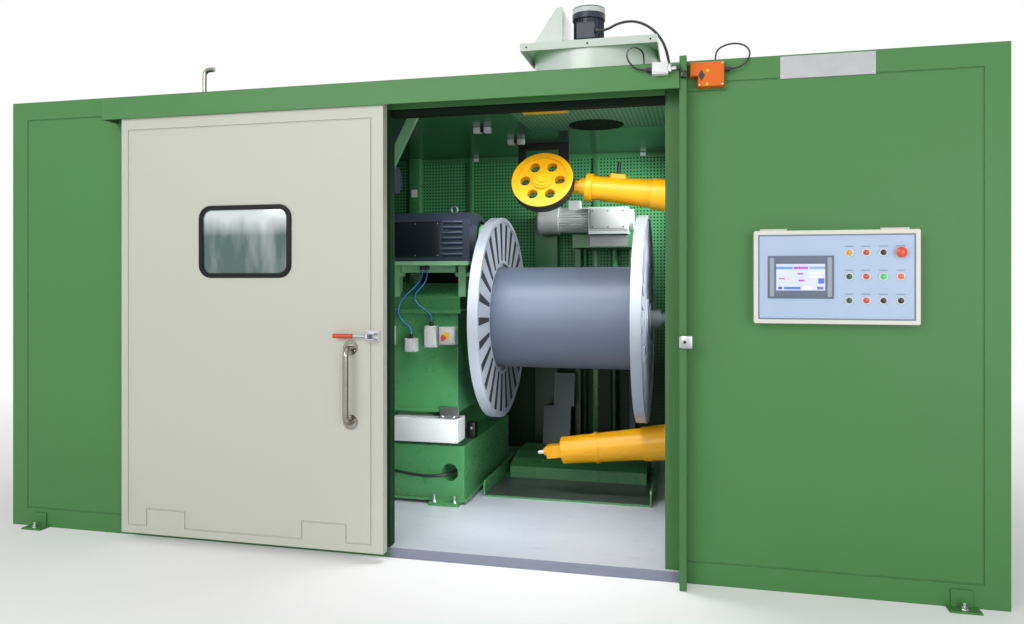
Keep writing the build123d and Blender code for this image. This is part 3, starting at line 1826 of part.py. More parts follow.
def cable(points, radius, name):
    with BuildPart() as tube:
        with BuildLine() as line:
            FilletPolyline(*points, radius=cable_radii(points))
        with BuildSketch(Plane(origin=line.line @ 0, z_dir=line.line % 0)):
            Circle(radius)
        sweep()
    length = line.wires()[0].length
    print(name, "length", round(length), "radii", [round(r) for r in cable_radii(points)])
    print(name, "volume share", round(tube.part.volume / (math.pi * radius**2 * length), 3))
    write(tube, name)


def gland(point, direction):
    # A round gland at the start or the end of a cable, seated on what carries it
    with BuildSketch(Plane(origin=point, z_dir=direction)) as nut:
        Circle(gland_radius)
    extrude(nut.sketch, amount=gland_length)


terminal_side = fan_motor_x + terminal_width / 2
terminal_y = fan_y - fan_motor_radius - terminal_depth / 2
terminal_z = terminal_base + terminal_height / 2
interlock_mid = -interlock_plate - interlock_depth / 2
interlock_exit_z = interlock_base + interlock_height - interlock_lobe_height / 2
interlock_exit = interlock_start + interlock_width
limit_mid = -header_reach - limit_depth / 2
clip_x = base_start + clip_inset
clip_z = base_foot + clip_rise
clip_y = base_front - clip_out
hose_gland_x = body_end - hose_gland_inset
hose_exit_z = motor_plate_base - gland_length

# Glands of the cables and hoses, and the clip that holds the base cable
with BuildPart() as cable_glands:
    gland(place(terminal_side, terminal_y, terminal_z), (1, 0, 0))
    gland(place(fan_cable_roof_x, terminal_y, cabin_height), (0, 0, 1))
    gland(place(interlock_exit, interlock_mid, interlock_exit_z), (1, 0, 0))
    gland(place(interlock_roof_x, interlock_roof_y, cabin_height), (0, 0, 1))
    gland(place(limit_start, limit_mid, limit_axis_z), (-1, 0, 0))
    gland(place(limit_roof_x, limit_roof_y, cabin_height), (0, 0, 1))
    for index in range(hose_count):
        gland_inset = valve_insets[index] - valve_widths[index] / 2
        box_face = body_front - valve_gland_setback
        gland(place(hose_gland_x + index * hose_gland_pitch, hose_gland_y, motor_plate_base), (0, 0, -1))
        gland(place(body_end - gland_inset, box_face, body_lip_base - valve_drops[index]), (0, 0, 1))
    box(
        clip_x,
        clip_x + clip_length,
        clip_y - gland_radius,
        base_front,
        clip_z - gland_radius,
        clip_z + gland_radius,
    )
write(cable_glands, "cable_glands")

cable(
    [
        place(terminal_side + gland_length, terminal_y, terminal_z),
        place(3270, terminal_y, terminal_z),
        place(3340, terminal_y, 2936),
        place(3440, terminal_y - 4, 2942),
        place(3540, terminal_y - 10, 2890),
        place(3612, terminal_y - 12, 2795),
        place(3642, terminal_y - 8, 2675),
        place(fan_cable_roof_x, terminal_y, 2550),
        place(fan_cable_roof_x, terminal_y, cabin_height + gland_length),
    ],
    fan_cable_radius,
    "fan_cable",
)

cable(
    [
        place(interlock_exit + gland_length, interlock_mid, interlock_exit_z),
        place(3990, interlock_mid, interlock_exit_z),
        place(4030, interlock_mid + 10, 2384),
        place(4040, interlock_mid + 34, 2432),
        place(4012, interlock_mid + 72, 2474),
        place(3962, interlock_mid + 112, 2494),
        place(3914, interlock_mid + 144, 2490),
        place(interlock_roof_x, interlock_roof_y, 2468),
        place(interlock_roof_x, interlock_roof_y, cabin_height + gland_length),
    ],
    switch_cable_radius,
    "interlock_cable",
)

cable(
    [
        place(limit_start - gland_length, limit_mid, limit_axis_z),
        place(3548, limit_mid, limit_axis_z),
        place(3506, limit_mid + 6, 2374),
        place(3490, limit_mid + 36, 2424),
        place(3500, limit_mid + 96, 2468),
        place(3526, limit_mid + 168, 2492),
        place(3550, limit_mid + 226, 2488),
        place(limit_roof_x, limit_roof_y, 2466),
        place(limit_roof_x, limit_roof_y, cabin_height + gland_length),
    ],
    switch_cable_radius,
    "limit_cable",
)

cable(
    [
        place(clip_x + clip_length, clip_y, clip_z),
        place(1860, clip_y, clip_z),
        place(1970, base_front - 38, 252),
        place(2090, base_front - 42, 234),
        place(2190, base_front - 46, 224),
        place(2270, base_front - 46, 224),
        place(2328, base_front - 22, 228),
        place(2362, base_front + 18, 234),
        place(2374, base_front + 66, 238),
        place(2374, base_front + base_hole_depth, 238),
    ],
    base_cable_radius,
    "base_cable",
)

cable(
    [
        place(hose_gland_x, hose_gland_y, hose_exit_z),
        place(hose_gland_x, hose_gland_y, 1411),
        place(2146, 806, 1363),
        place(2098, 774, 1313),
        place(2054, 758, 1259),
        place(2038, 754, 1201),
        place(2062, 757, 1151),
        place(2096, 764, 1122),
        place(body_end - valve_insets[0] + valve_widths[0] / 2, body_front - valve_gland_setback, 1100),
        place(body_end - valve_insets[0] + valve_widths[0] / 2, body_front - valve_gland_setback, 1067),
    ],
    hose_radius,
    "air_hose_left",
)

cable(
    [
        place(hose_gland_x + hose_gland_pitch, hose_gland_y, hose_exit_z),
        place(hose_gland_x + hose_gland_pitch, hose_gland_y, 1411),
        place(2186, 802, 1359),
        place(2146, 770, 1313),
        place(2150, 754, 1265),
        place(2190, 750, 1233),
        place(2226, 758, 1209),
        place(body_end - valve_insets[1] + valve_widths[1] / 2, body_front - valve_gland_setback, 1176),
        place(body_end - valve_insets[1] + valve_widths[1] / 2, body_front - valve_gland_setback, 1144),
    ],
    hose_radius,
    "air_hose_right",
)
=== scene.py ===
# Single twist stranding machine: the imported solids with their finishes, cables and small fittings.
import json
import math

import bmesh
import bpy
from mathutils import Matrix, Vector


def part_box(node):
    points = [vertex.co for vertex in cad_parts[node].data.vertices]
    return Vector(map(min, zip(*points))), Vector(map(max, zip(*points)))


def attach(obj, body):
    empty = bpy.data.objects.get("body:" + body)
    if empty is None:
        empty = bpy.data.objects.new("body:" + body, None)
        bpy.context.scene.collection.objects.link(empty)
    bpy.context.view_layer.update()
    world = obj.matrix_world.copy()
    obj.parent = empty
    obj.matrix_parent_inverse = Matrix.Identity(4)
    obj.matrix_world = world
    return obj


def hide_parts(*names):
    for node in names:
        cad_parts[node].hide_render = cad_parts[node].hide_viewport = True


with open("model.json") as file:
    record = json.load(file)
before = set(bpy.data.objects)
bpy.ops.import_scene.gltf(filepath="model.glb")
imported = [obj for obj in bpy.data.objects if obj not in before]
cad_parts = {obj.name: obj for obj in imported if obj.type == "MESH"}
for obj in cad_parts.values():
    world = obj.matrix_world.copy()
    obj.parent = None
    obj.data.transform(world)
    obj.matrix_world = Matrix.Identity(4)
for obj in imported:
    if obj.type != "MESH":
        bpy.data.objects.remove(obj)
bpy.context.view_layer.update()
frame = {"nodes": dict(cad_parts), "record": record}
print("frame loaded:", len(frame["nodes"]), "nodes")

midLength = 2.545  # row origin, from the cabin's left end
midDepth = 1.175   # row origin, from the cabin's front face


def at(x, y, z):
    # metres from the left end, the front face and the ground, as in the part's source
    return Vector((x - midLength, y - midDepth, z))


def corners(node):
    low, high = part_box(node)
    return Vector(low), Vector(high)


# Camera

cameraSettings = dict(
    place=(3.82, -3.697, 1.399),
    turn=13.5,       # degrees to the left of straight on
    lens=27.6,
    shiftDown=0.0322,
)


def addCamera(s):
    data = bpy.data.cameras.new("camera")
    data.sensor_fit = "HORIZONTAL"
    data.sensor_width = 36
    data.lens = s["lens"]
    data.shift_y = -s["shiftDown"]
    camera = bpy.data.objects.new("camera", data)
    camera.location = at(*s["place"])
    camera.rotation_euler = (math.radians(90), 0, math.radians(s["turn"]))
    bpy.context.collection.objects.link(camera)
    bpy.context.scene.camera = camera


addCamera(cameraSettings)
print("camera set")


# Materials

def colour(hexCode):
    # sRGB hex to the linear values that the shader reads
    parts = [int(hexCode[i:i + 2], 16) / 255 for i in (1, 3, 5)]
    linear = [p / 12.92 if p <= 0.04045 else ((p + 0.055) / 1.055) ** 2.4 for p in parts]
    return Vector((*linear, 1))


def shaded(hexCode, share):
    # the same colour, lighter or darker by a share
    tone = colour(hexCode) * share
    tone[3] = 1
    return tone


def addNode(mat, kind, inputs=None, **settings):
    node = mat.node_tree.nodes.new("ShaderNode" + kind)
    for name, value in settings.items():
        setattr(node, name, value)
    for name, value in (inputs or {}).items():
        if isinstance(value, bpy.types.NodeSocket):
            mat.node_tree.links.new(value, node.inputs[name])
        else:
            node.inputs[name].default_value = value
    return node


def shaderOf(mat):
    return mat.node_tree.nodes["Principled BSDF"]


def setSockets(mat, **sockets):
    for socket, value in sockets.items():
        shaderOf(mat).inputs[socket.replace("_", " ")].default_value = value
    return mat


def newMaterial(name, **sockets):
    mat = bpy.data.materials.new(name)
    mat.use_nodes = True
    return setSockets(mat, **sockets)


def feed(mat, **links):
    for socket, source in links.items():
        mat.node_tree.links.new(source, shaderOf(mat).inputs[socket.replace("_", " ")])
    return mat


def paintOf(mat):
    # what colours the paint so far, so that dirt or holes can be laid over it
    return shaderOf(mat).inputs["Base Color"].links[0].from_socket


def sprayPaint(name, hexCode, rough=0.35, shade=0.05, wear=0.3, edge=3, peel=6, bare="#B9B6AE", coat=0.12):
    # enamel sprayed on sheet steel: clouds of colour, orange peel, duller patches, worn edges
    mat = newMaterial(name, IOR=1.5, Coat_Weight=coat, Coat_Roughness=0.18)
    spot = addNode(mat, "TexCoord").outputs["Object"]
    cloud = addNode(mat, "TexNoise", {"Vector": spot, "Scale": 1000 / 420, "Detail": 4})
    scuff = addNode(mat, "TexNoise", {"Vector": spot, "Scale": 1000 / 45, "Detail": 6, "Roughness": 0.65})
    skin = addNode(mat, "TexNoise", {"Vector": spot, "Scale": 1000 / peel, "Detail": 1})
    rounded = addNode(mat, "Bevel", {"Radius": edge / 1000}, samples=4)
    flat = addNode(mat, "NewGeometry").outputs["Normal"]
    turn = addNode(mat, "VectorMath", {0: rounded.outputs[0], 1: flat}, operation="DOT_PRODUCT")
    corner = addNode(mat, "MapRange", {
        "Value": turn.outputs["Value"], "From Min": 0.99, "From Max": 0.75, "To Min": 0, "To Max": wear})
    chips = addNode(mat, "MapRange", {"Value": scuff.outputs[0], "From Min": 0.45, "From Max": 0.62})
    worn = addNode(mat, "Math", {0: corner.outputs[0], 1: chips.outputs[0]}, operation="MULTIPLY")
    tint = addNode(mat, "Mix", {
        0: cloud.outputs[0], 6: shaded(hexCode, 1 - shade), 7: shaded(hexCode, 1 + shade)}, data_type="RGBA")
    paint = addNode(mat, "Mix", {0: worn.outputs[0], 6: tint.outputs[2], 7: colour(bare)}, data_type="RGBA")
    dull = addNode(mat, "MapRange", {
        "Value": scuff.outputs[0], "From Min": 0.3, "From Max": 0.7,
        "To Min": rough - 0.02, "To Max": rough + 0.04})
    bump = addNode(mat, "Bump", {
        "Height": skin.outputs[0], "Strength": 0.025, "Distance": 0.001, "Normal": rounded.outputs[0]})
    return feed(mat, Base_Color=paint.outputs[2], Roughness=dull.outputs[0], Normal=bump.outputs[0])


def bareSteel(name, hexCode, rough=0.3, grain=2.0, along=(1, 1, 1), edge=1.5):
    # ground or drawn steel: streaks along the grain, which break the highlight up
    mat = newMaterial(name, Metallic=1.0)
    spot = addNode(mat, "TexCoord").outputs["Object"]
    pulled = addNode(mat, "Mapping", {"Vector": spot, "Scale": along})
    streak = addNode(mat, "TexNoise", {"Vector": pulled.outputs[0], "Scale": 1000 / grain, "Detail": 3})
    stain = addNode(mat, "TexNoise", {"Vector": spot, "Scale": 1000 / 60, "Detail": 4})
    rounded = addNode(mat, "Bevel", {"Radius": edge / 1000}, samples=4)
    tint = addNode(mat, "Mix", {
        0: stain.outputs[0], 6: shaded(hexCode, 0.86), 7: shaded(hexCode, 1.06)}, data_type="RGBA")
    gloss = addNode(mat, "MapRange", {
        "Value": streak.outputs[0], "To Min": rough - 0.1, "To Max": rough + 0.12})
    bump = addNode(mat, "Bump", {
        "Height": streak.outputs[0], "Strength": 0.06, "Distance": 0.0005, "Normal": rounded.outputs[0]})
    return feed(mat, Base_Color=tint.outputs[2], Roughness=gloss.outputs[0], Normal=bump.outputs[0])


def mouldedPlastic(
        name, hexCode, rough=0.42, grain=1.4, shade=0.04, depth=0.05, edge=1.5, glow=0, gloss=0.5):
    # injection moulded ABS or PVC: a fine even grain and a soft, unbroken sheen
    mat = newMaterial(name, IOR=1.53, Specular_IOR_Level=gloss)
    spot = addNode(mat, "TexCoord").outputs["Object"]
    texture = addNode(mat, "TexNoise", {"Vector": spot, "Scale": 1000 / grain, "Detail": 2})
    cloud = addNode(mat, "TexNoise", {"Vector": spot, "Scale": 1000 / 80, "Detail": 3})
    rounded = addNode(mat, "Bevel", {"Radius": edge / 1000}, samples=4)
    tint = addNode(mat, "Mix", {
        0: cloud.outputs[0], 6: shaded(hexCode, 1 - shade), 7: shaded(hexCode, 1 + shade)}, data_type="RGBA")
    sheen = addNode(mat, "MapRange", {
        "Value": cloud.outputs[0], "From Min": 0.3, "From Max": 0.7,
        "To Min": rough - 0.05, "To Max": rough + 0.05})
    bump = addNode(mat, "Bump", {
        "Height": texture.outputs[0], "Strength": depth, "Distance": 0.0005, "Normal": rounded.outputs[0]})
    if glow:
        setSockets(mat, Emission_Color=colour(hexCode), Emission_Strength=glow)
    return feed(mat, Base_Color=tint.outputs[2], Roughness=sheen.outputs[0], Normal=bump.outputs[0])


def addPaintedShade(mat, hexCode, top, low, share):
    # painted shade: the paint darkens towards near black from the height top down to low, where the bay's
    # lower parts lie in shade
    height = addNode(mat, "SeparateXYZ", {0: addNode(mat, "TexCoord").outputs["Object"]})
    shadeShare = addNode(mat, "MapRange", {
        "Value": height.outputs["Z"], "From Min": top, "From Max": low, "To Min": 0, "To Max": share})
    shadedDarker = addNode(mat, "Mix", {
        0: shadeShare.outputs[0], 6: paintOf(mat), 7: shaded(hexCode, 0.05)}, data_type="RGBA")
    return feed(mat, Base_Color=shadedDarker.outputs[2])


def perforatedSheet(name, hexCode, pitch=25, hole=13, across=(1, 0, 1)):
    # painted sheet with round holes in a square grid, dark where the wool shows behind them
    mat = sprayPaint(name, hexCode, 0.4, wear=0, coat=0)
    setSockets(mat, Specular_IOR_Level=0.2)  # the holes take much of the sheen
    spot = addNode(mat, "TexCoord").outputs["Object"]
    cells = addNode(mat, "VectorMath", {0: spot, "Scale": 1000 / pitch}, operation="SCALE")
    part = addNode(mat, "VectorMath", {0: cells.outputs[0]}, operation="FRACTION")
    centred = addNode(mat, "VectorMath", {0: part.outputs[0], 1: (0.5, 0.5, 0.5)}, operation="SUBTRACT")
    inPlane = addNode(mat, "VectorMath", {0: centred.outputs[0], 1: across}, operation="MULTIPLY")
    reach = addNode(mat, "VectorMath", {0: inPlane.outputs[0]}, operation="LENGTH")
    radius = hole / pitch / 2
    opening = addNode(mat, "MapRange", {
        "Value": reach.outputs["Value"], "From Min": radius * 0.9, "From Max": radius * 1.1,
        "To Min": 1, "To Max": 0})
    holed = addNode(mat, "Mix", {
        0: opening.outputs[0], 6: paintOf(mat), 7: shaded(hexCode, 0.03)}, data_type="RGBA")
    return feed(mat, Base_Color=holed.outputs[2])


def wornReelPaint(name, hexCode, rough=0.42, wear=0.75):
    # satin grey enamel on a reel, rubbed bright along its edges by wire and forks
    mat = sprayPaint(name, hexCode, rough, 0.06, wear=wear, edge=4, bare="#E6E7E8")
    return setSockets(mat, Metallic=0.15)


def reflectionPaintedGlass(name):
    # laminated window with a reflecting film; its colour is a painted reflection of the bright hall, its
    # uprights and a band of lamps, out of true
    mat = newMaterial(
        name, Metallic=0.45, IOR=1.5, Roughness=0.07, Coat_Weight=1.0, Coat_Roughness=0.02)
    spot = addNode(mat, "TexCoord").outputs["Object"]
    upright = addNode(mat, "Mapping", {"Vector": spot, "Scale": (1, 1, 0.25)})
    bands = addNode(mat, "TexNoise", {"Vector": upright.outputs[0], "Scale": 1000 / 110, "Detail": 3})
    wave = addNode(mat, "TexNoise", {"Vector": spot, "Scale": 1000 / 260, "Detail": 2})
    height = addNode(mat, "SeparateXYZ", {0: spot})
    # painted reflection: a bright band of lamps from 1.62 m up, over upright streaks
    lamps = addNode(mat, "MapRange", {
        "Value": height.outputs["Z"], "From Min": 1.62, "From Max": 1.74, "To Min": -0.25, "To Max": 0.45})
    light = addNode(mat, "Math", {0: bands.outputs[0], 1: lamps.outputs[0]}, operation="ADD")
    tint = addNode(mat, "MapRange", {"Value": light.outputs[0], "From Min": 0.2, "From Max": 0.85})
    glass = addNode(mat, "Mix", {
        0: tint.outputs[0], 6: colour("#46625C"), 7: colour("#D5DDDD")}, data_type="RGBA")
    bump = addNode(mat, "Bump", {"Height": wave.outputs[0], "Strength": 0.05, "Distance": 0.004})
    return feed(mat, Base_Color=glass.outputs[2], Normal=bump.outputs[0])


def floorPaint(name):
    # two-part floor paint: pale, dusty, with scuffs from boots and reel rims
    mat = sprayPaint(name, "#C3C9D4", 0.32, 0.04, wear=0.1)
    spot = addNode(mat, "TexCoord").outputs["Object"]
    drawn = addNode(mat, "Mapping", {"Vector": spot, "Scale": (0.35, 1, 1), "Rotation": (0, 0, 0.5)})
    marks = addNode(mat, "TexNoise", {
        "Vector": drawn.outputs[0], "Scale": 1000 / 55, "Detail": 8, "Roughness": 0.7})
    dirt = addNode(mat, "MapRange", {
        "Value": marks.outputs[0], "From Min": 0.56, "From Max": 0.8, "To Min": 0, "To Max": 0.5})
    dirty = addNode(mat, "Mix", {0: dirt.outputs[0], 6: paintOf(mat), 7: colour("#8A909B")}, data_type="RGBA")
    return feed(mat, Base_Color=dirty.outputs[2])


finishes = {
    "cabin_green": sprayPaint("cabinEnamel", "#427D3E", 0.52, 0.04, wear=0.2, edge=4, coat=0.03),
    "door_ivory": sprayPaint("doorEnamel", "#C0C1B5", 0.46, 0.02, wear=0.1, edge=4, coat=0.04),
    "floor_grey": floorPaint("floorPaint"),
    "machine_green": sprayPaint("machineEnamel", "#4A8C58", 0.28, 0.05, wear=0.25),
    "guard_green": sprayPaint("guardEnamel", "#8FC79A", 0.32, 0.04, wear=0.25),
    "fan_green": sprayPaint("fanEnamel", "#D6DFD8", 0.42, 0.04, wear=0.2),
    "flyer_yellow": sprayPaint("flyerEnamel", "#F3AF04", 0.36, 0.04, wear=0.2, coat=0),
    "reel_grey": wornReelPaint("reelEnamel", "#A9AEB6"),
    "motor_navy": sprayPaint("motorPaint", "#222A39", 0.38, 0.06, wear=0.35, bare="#7C838C"),
    "gear_grey": sprayPaint("gearPaint", "#D3D9D8", 0.4, 0.06, wear=0.3, bare="#D0D4D4"),
    "lift_dark": sprayPaint("liftPaint", "#586366", 0.45, 0.08, wear=0.4),
    "box_white": sprayPaint("boxPowderCoat", "#CDD1D2", 0.45, 0.02, wear=0.1, peel=3),
    "panel_ivory": sprayPaint("panelPowderCoat", "#DCDAD0", 0.42, 0.02, wear=0.08, peel=3),
    "bright_steel": bareSteel("zincSteel", "#B4B7BA", 0.34),
    "chrome": bareSteel("chromePlate", "#99978F", 0.17, grain=6),
    "window_rubber": mouldedPlastic("windowRubber", "#0A0A0B", 0.35, depth=0.1, gloss=0.2),
    "window_glass": reflectionPaintedGlass("windowGlass"),
    "screen_plastic": mouldedPlastic("screenPlastic", "#5F6B7E", 0.45),
    "button_plastic": mouldedPlastic("buttonPlastic", "#26272A", 0.3),
    "switch_orange": mouldedPlastic("switchOrange", "#E06A0C", 0.42, gloss=0.3),
    "switch_white": mouldedPlastic("switchWhite", "#E4E6E4", 0.38),
    "grip_red": mouldedPlastic("gripRed", "#C83C1C", 0.32),
    "cable_black": mouldedPlastic("cablePvc", "#1B1C1E", 0.45, grain=3),
    "hose_blue": mouldedPlastic("hosePolyurethane", "#2A78C8", 0.25, grain=3, depth=0.02),
    "gland_black": mouldedPlastic("glandNylon", "#202124", 0.45),
}
for part in frame["record"]["subparts"]:
    for place in frame["nodes"][part["node"]].material_slots:
        place.material = finishes[part["material_slot"]]

barrelSteel = wornReelPaint("barrelEnamel", "#646F82", 0.5, wear=0.2)
flangeEnamel = wornReelPaint("flangeEnamel", "#AAB3C0")
# painted shade: the liner darkens to near black from 1.45 m down to 0.75 m
rearLiner = addPaintedShade(perforatedSheet("perforatedLiner", "#58A86E"), "#4C9660", 1.45, 0.75, 0.97)
roofLiner = perforatedSheet("perforatedCeiling", "#5C9878", across=(1, 1, 0))
# painted shade: the stand darkens to near black from 1.45 m down to 0.85 m
standEnamel = addPaintedShade(sprayPaint("standEnamel", "#4A8C58", 0.3, 0.05), "#4A8C58", 1.45, 0.85, 0.95)
motorBody = sprayPaint("motorBodyPaint", "#3B4457", 0.36, 0.06, wear=0.35, bare="#7C838C")
coverPaint = sprayPaint("motorCoverPaint", "#1E232C", 0.22, 0.05, wear=0.2, bare="#565E6B")
rearMotorPaint = sprayPaint("rearMotorPaint", "#5A6478", 0.36, 0.06, wear=0.3, bare="#8D95A0")
# dark paint of the ceiling bracket, and painted shadow on the lug sheet
bracketAndShadowPaint = sprayPaint("bracketAndShadowPaint", "#141E17", 0.4, 0.05, wear=0.2)
tipCeramic = mouldedPlastic("tipCeramic", "#EEEDEA", 0.2, depth=0.01)
# painted shade: a darker copy of the cabin's green on the door post
postShadedEnamel = sprayPaint("postShadedEnamel", "#3A7037", 0.5, 0.04, wear=0.2, edge=4, coat=0.03)
# painted shade: dark green for the strips on the doorway's jamb
jambShadeGreen = mouldedPlastic("jambShadeGreen", "#1F3E28", 0.7, grain=3, gloss=0.1)
drumPaint = sprayPaint("drumEnamel", "#E6EEE9", 0.2, 0.03, wear=0.2)
capPlastic = mouldedPlastic("fanCapPlastic", "#D5D8D8", 0.3)
ceilingEnamel = sprayPaint("ceilingEnamel", "#35654A", 0.22, 0.05, wear=0)
# painted shade: near black for the strip under the lintel and the disc under the fan's hole
paintedShadeBlack = mouldedPlastic("paintedShadeBlack", "#101C14", 0.7, grain=3, gloss=0.08)
panelTrim = mouldedPlastic("panelTrim", "#76849E", 0.4)
captionFilm = mouldedPlastic("captionFilm", "#7C8CA8", 0.4)
barPlastic = mouldedPlastic("barPlastic", "#9AA2AE", 0.4)
ringPlastic = mouldedPlastic("ringPlastic", "#D9DDDF", 0.35)
# painted highlight: a lighter copy of the motor's navy on the louvre blades
louvreHighlightPaint = sprayPaint("louvreHighlightPaint", "#606C84", 0.35, 0.05, wear=0.4, bare="#8F99A8")
sillSteel = sprayPaint("sillPaint", "#7F8496", 0.4, 0.05, wear=0.5)
brushedPlate = bareSteel("brushedAluminium", "#A4A6A8", 0.48, grain=1.6, along=(0.03, 1, 1))
screwSteel = bareSteel("screwSteel", "#C2C4C6", 0.25)
panelBlue = mouldedPlastic("panelFilm", "#AEC2DE", 0.38, grain=1.0, shade=0.02)
labelFilm = mouldedPlastic("labelFilm", "#EEF0EE", 0.5, shade=0.02)
yellowFilm = mouldedPlastic("yellowFilm", "#E8BE2C", 0.45)
blackPlastic = mouldedPlastic("blackPlastic", "#17181A", 0.35)
# painted shade: near black for the insides of the flanges' ribs
grooveShade = sprayPaint("ribShadeFill", "#1C2129", 0.7, 0.1, wear=0)
wornSheet = sprayPaint("wornSheet", "#3F4B48", 0.38, 0.12, wear=0.6, bare="#B8BEC0")
treadRubber = mouldedPlastic("treadPolyurethane", "#1E2022", 0.5)
# nodes whose finish differs from the rest of their slot
for node, mat in (
        ("reel_barrel", barrelSteel), ("reel_flange_left", flangeEnamel), ("reel_flange_right", flangeEnamel),
        ("gearmotor_stand", standEnamel), ("drive_motor", motorBody), ("rear_motor", rearMotorPaint),
        ("fan_drum", drumPaint), ("door_post", postShadedEnamel)):
    for place in frame["nodes"][node].material_slots:
        place.material = mat
print("finishes:", len(finishes))


# Mesh helpers

smoothAngle = math.radians(35)  # edges that turn further than this stay crisp


def span(x0, x1, y0, y1, z0, z1):
    # the two corners of a block, from its left, right, front, back, bottom and top
    return at(x0, y0, z0), at(x1, y1, z1)


def turned(profile, radius):
    # a turned outline whose radii are given as shares
    return [(along, share * radius) for along, share in profile]


def screwSpots(x0, x1, z0, z1, inset, middle=False):
    # the corners of a plate, and the middles of its long edges
    columns = [x0 + inset, x1 - inset]
    if middle:
        columns.append((x0 + x1) / 2)
    return [(x, z) for x in columns for z in (z0 + inset, z1 - inset)]


def addBlock(bm, low, high, edge=0.0, steps=2, mat=0):
    # a block between two corners, its edges rounded
    low, high = Vector(low), Vector(high)
    made = bmesh.ops.create_cube(bm, size=1)["verts"]
    bmesh.ops.scale(bm, vec=high - low, verts=made)
    bmesh.ops.translate(bm, vec=(low + high) / 2, verts=made)
    for face in {f for v in made for f in v.link_faces}:
        face.material_index = mat
    if edge:
        rims = list({e for v in made for e in v.link_edges})
        bmesh.ops.bevel(
            bm, geom=rims, offset=edge, segments=steps, profile=0.5, affect="EDGES", material=-1)


def addLathe(bm, place, axis, profile, steps=28, mat=0):
    # a turned shape; the profile is (along the axis, radius) pairs
    place, axis = Vector(place), Vector(axis).normalized()
    seat = Matrix.Translation(place) @ axis.to_track_quat("Z", "Y").to_matrix().to_4x4()
    before = set(bm.faces)
    points = [bm.verts.new(seat @ Vector((radius, 0, along))) for along, radius in profile]
    lines = [bm.edges.new(pair) for pair in zip(points, points[1:])]
    bmesh.ops.spin(
        bm, geom=points + lines, cent=place, axis=axis, angle=2 * math.pi, steps=steps, use_merge=True)
    for face in set(bm.faces) - before:
        face.material_index = mat


def addRod(bm, start, end, radius, sides=20, mat=0):
    start, end = Vector(start), Vector(end)
    run = end - start
    seat = Matrix.Translation((start + end) / 2) @ run.to_track_quat("Z", "Y").to_matrix().to_4x4()
    made = bmesh.ops.create_cone(
        bm, cap_ends=True, segments=sides, radius1=radius, radius2=radius, depth=run.length, matrix=seat)
    for face in {f for v in made["verts"] for f in v.link_faces}:
        face.material_index = mat


def addHexBolt(bm, place, axis, size, mat=0):
    # washer, hexagon head with a rounded top; size is the thread
    place, axis = Vector(place), Vector(axis).normalized()
    washer, top = size * 0.16, place + axis * size * 0.85
    addLathe(bm, place, axis, turned(((0, 0), (0, 1.15), (washer, 1.15), (washer, 0)), size), 20, mat)
    addRod(bm, place + axis * washer, top, size * 0.9, 6, mat)
    addLathe(bm, top, axis, turned(((0, 0.72), (size * 0.1, 0.6), (size * 0.1, 0)), size), 18, mat)


def addScrew(bm, place, axis, radius, mat=0):
    # pan head screw with a shallow dome
    addLathe(bm, place, axis, [(0, radius), (radius * 0.35, radius * 0.92), (radius * 0.55, radius * 0.55),
                               (radius * 0.6, 0)], 14, mat)


def finishPiece(name, bm, mats, body="cabin", stands=()):
    bmesh.ops.remove_doubles(bm, verts=bm.verts, dist=0.00001)
    bmesh.ops.recalc_face_normals(bm, faces=bm.faces)
    for face in bm.faces:
        face.smooth = True
    mesh = bpy.data.meshes.new(name)
    bm.to_mesh(mesh)
    bm.free()
    mesh.set_sharp_from_angle(angle=smoothAngle)
    for mat in mats:
        mesh.materials.append(mat)
    piece = bpy.data.objects.new(name, mesh)
    bpy.context.collection.objects.link(piece)
    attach(piece, body)
    if stands:
        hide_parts(*stands)


# Cables and hoses

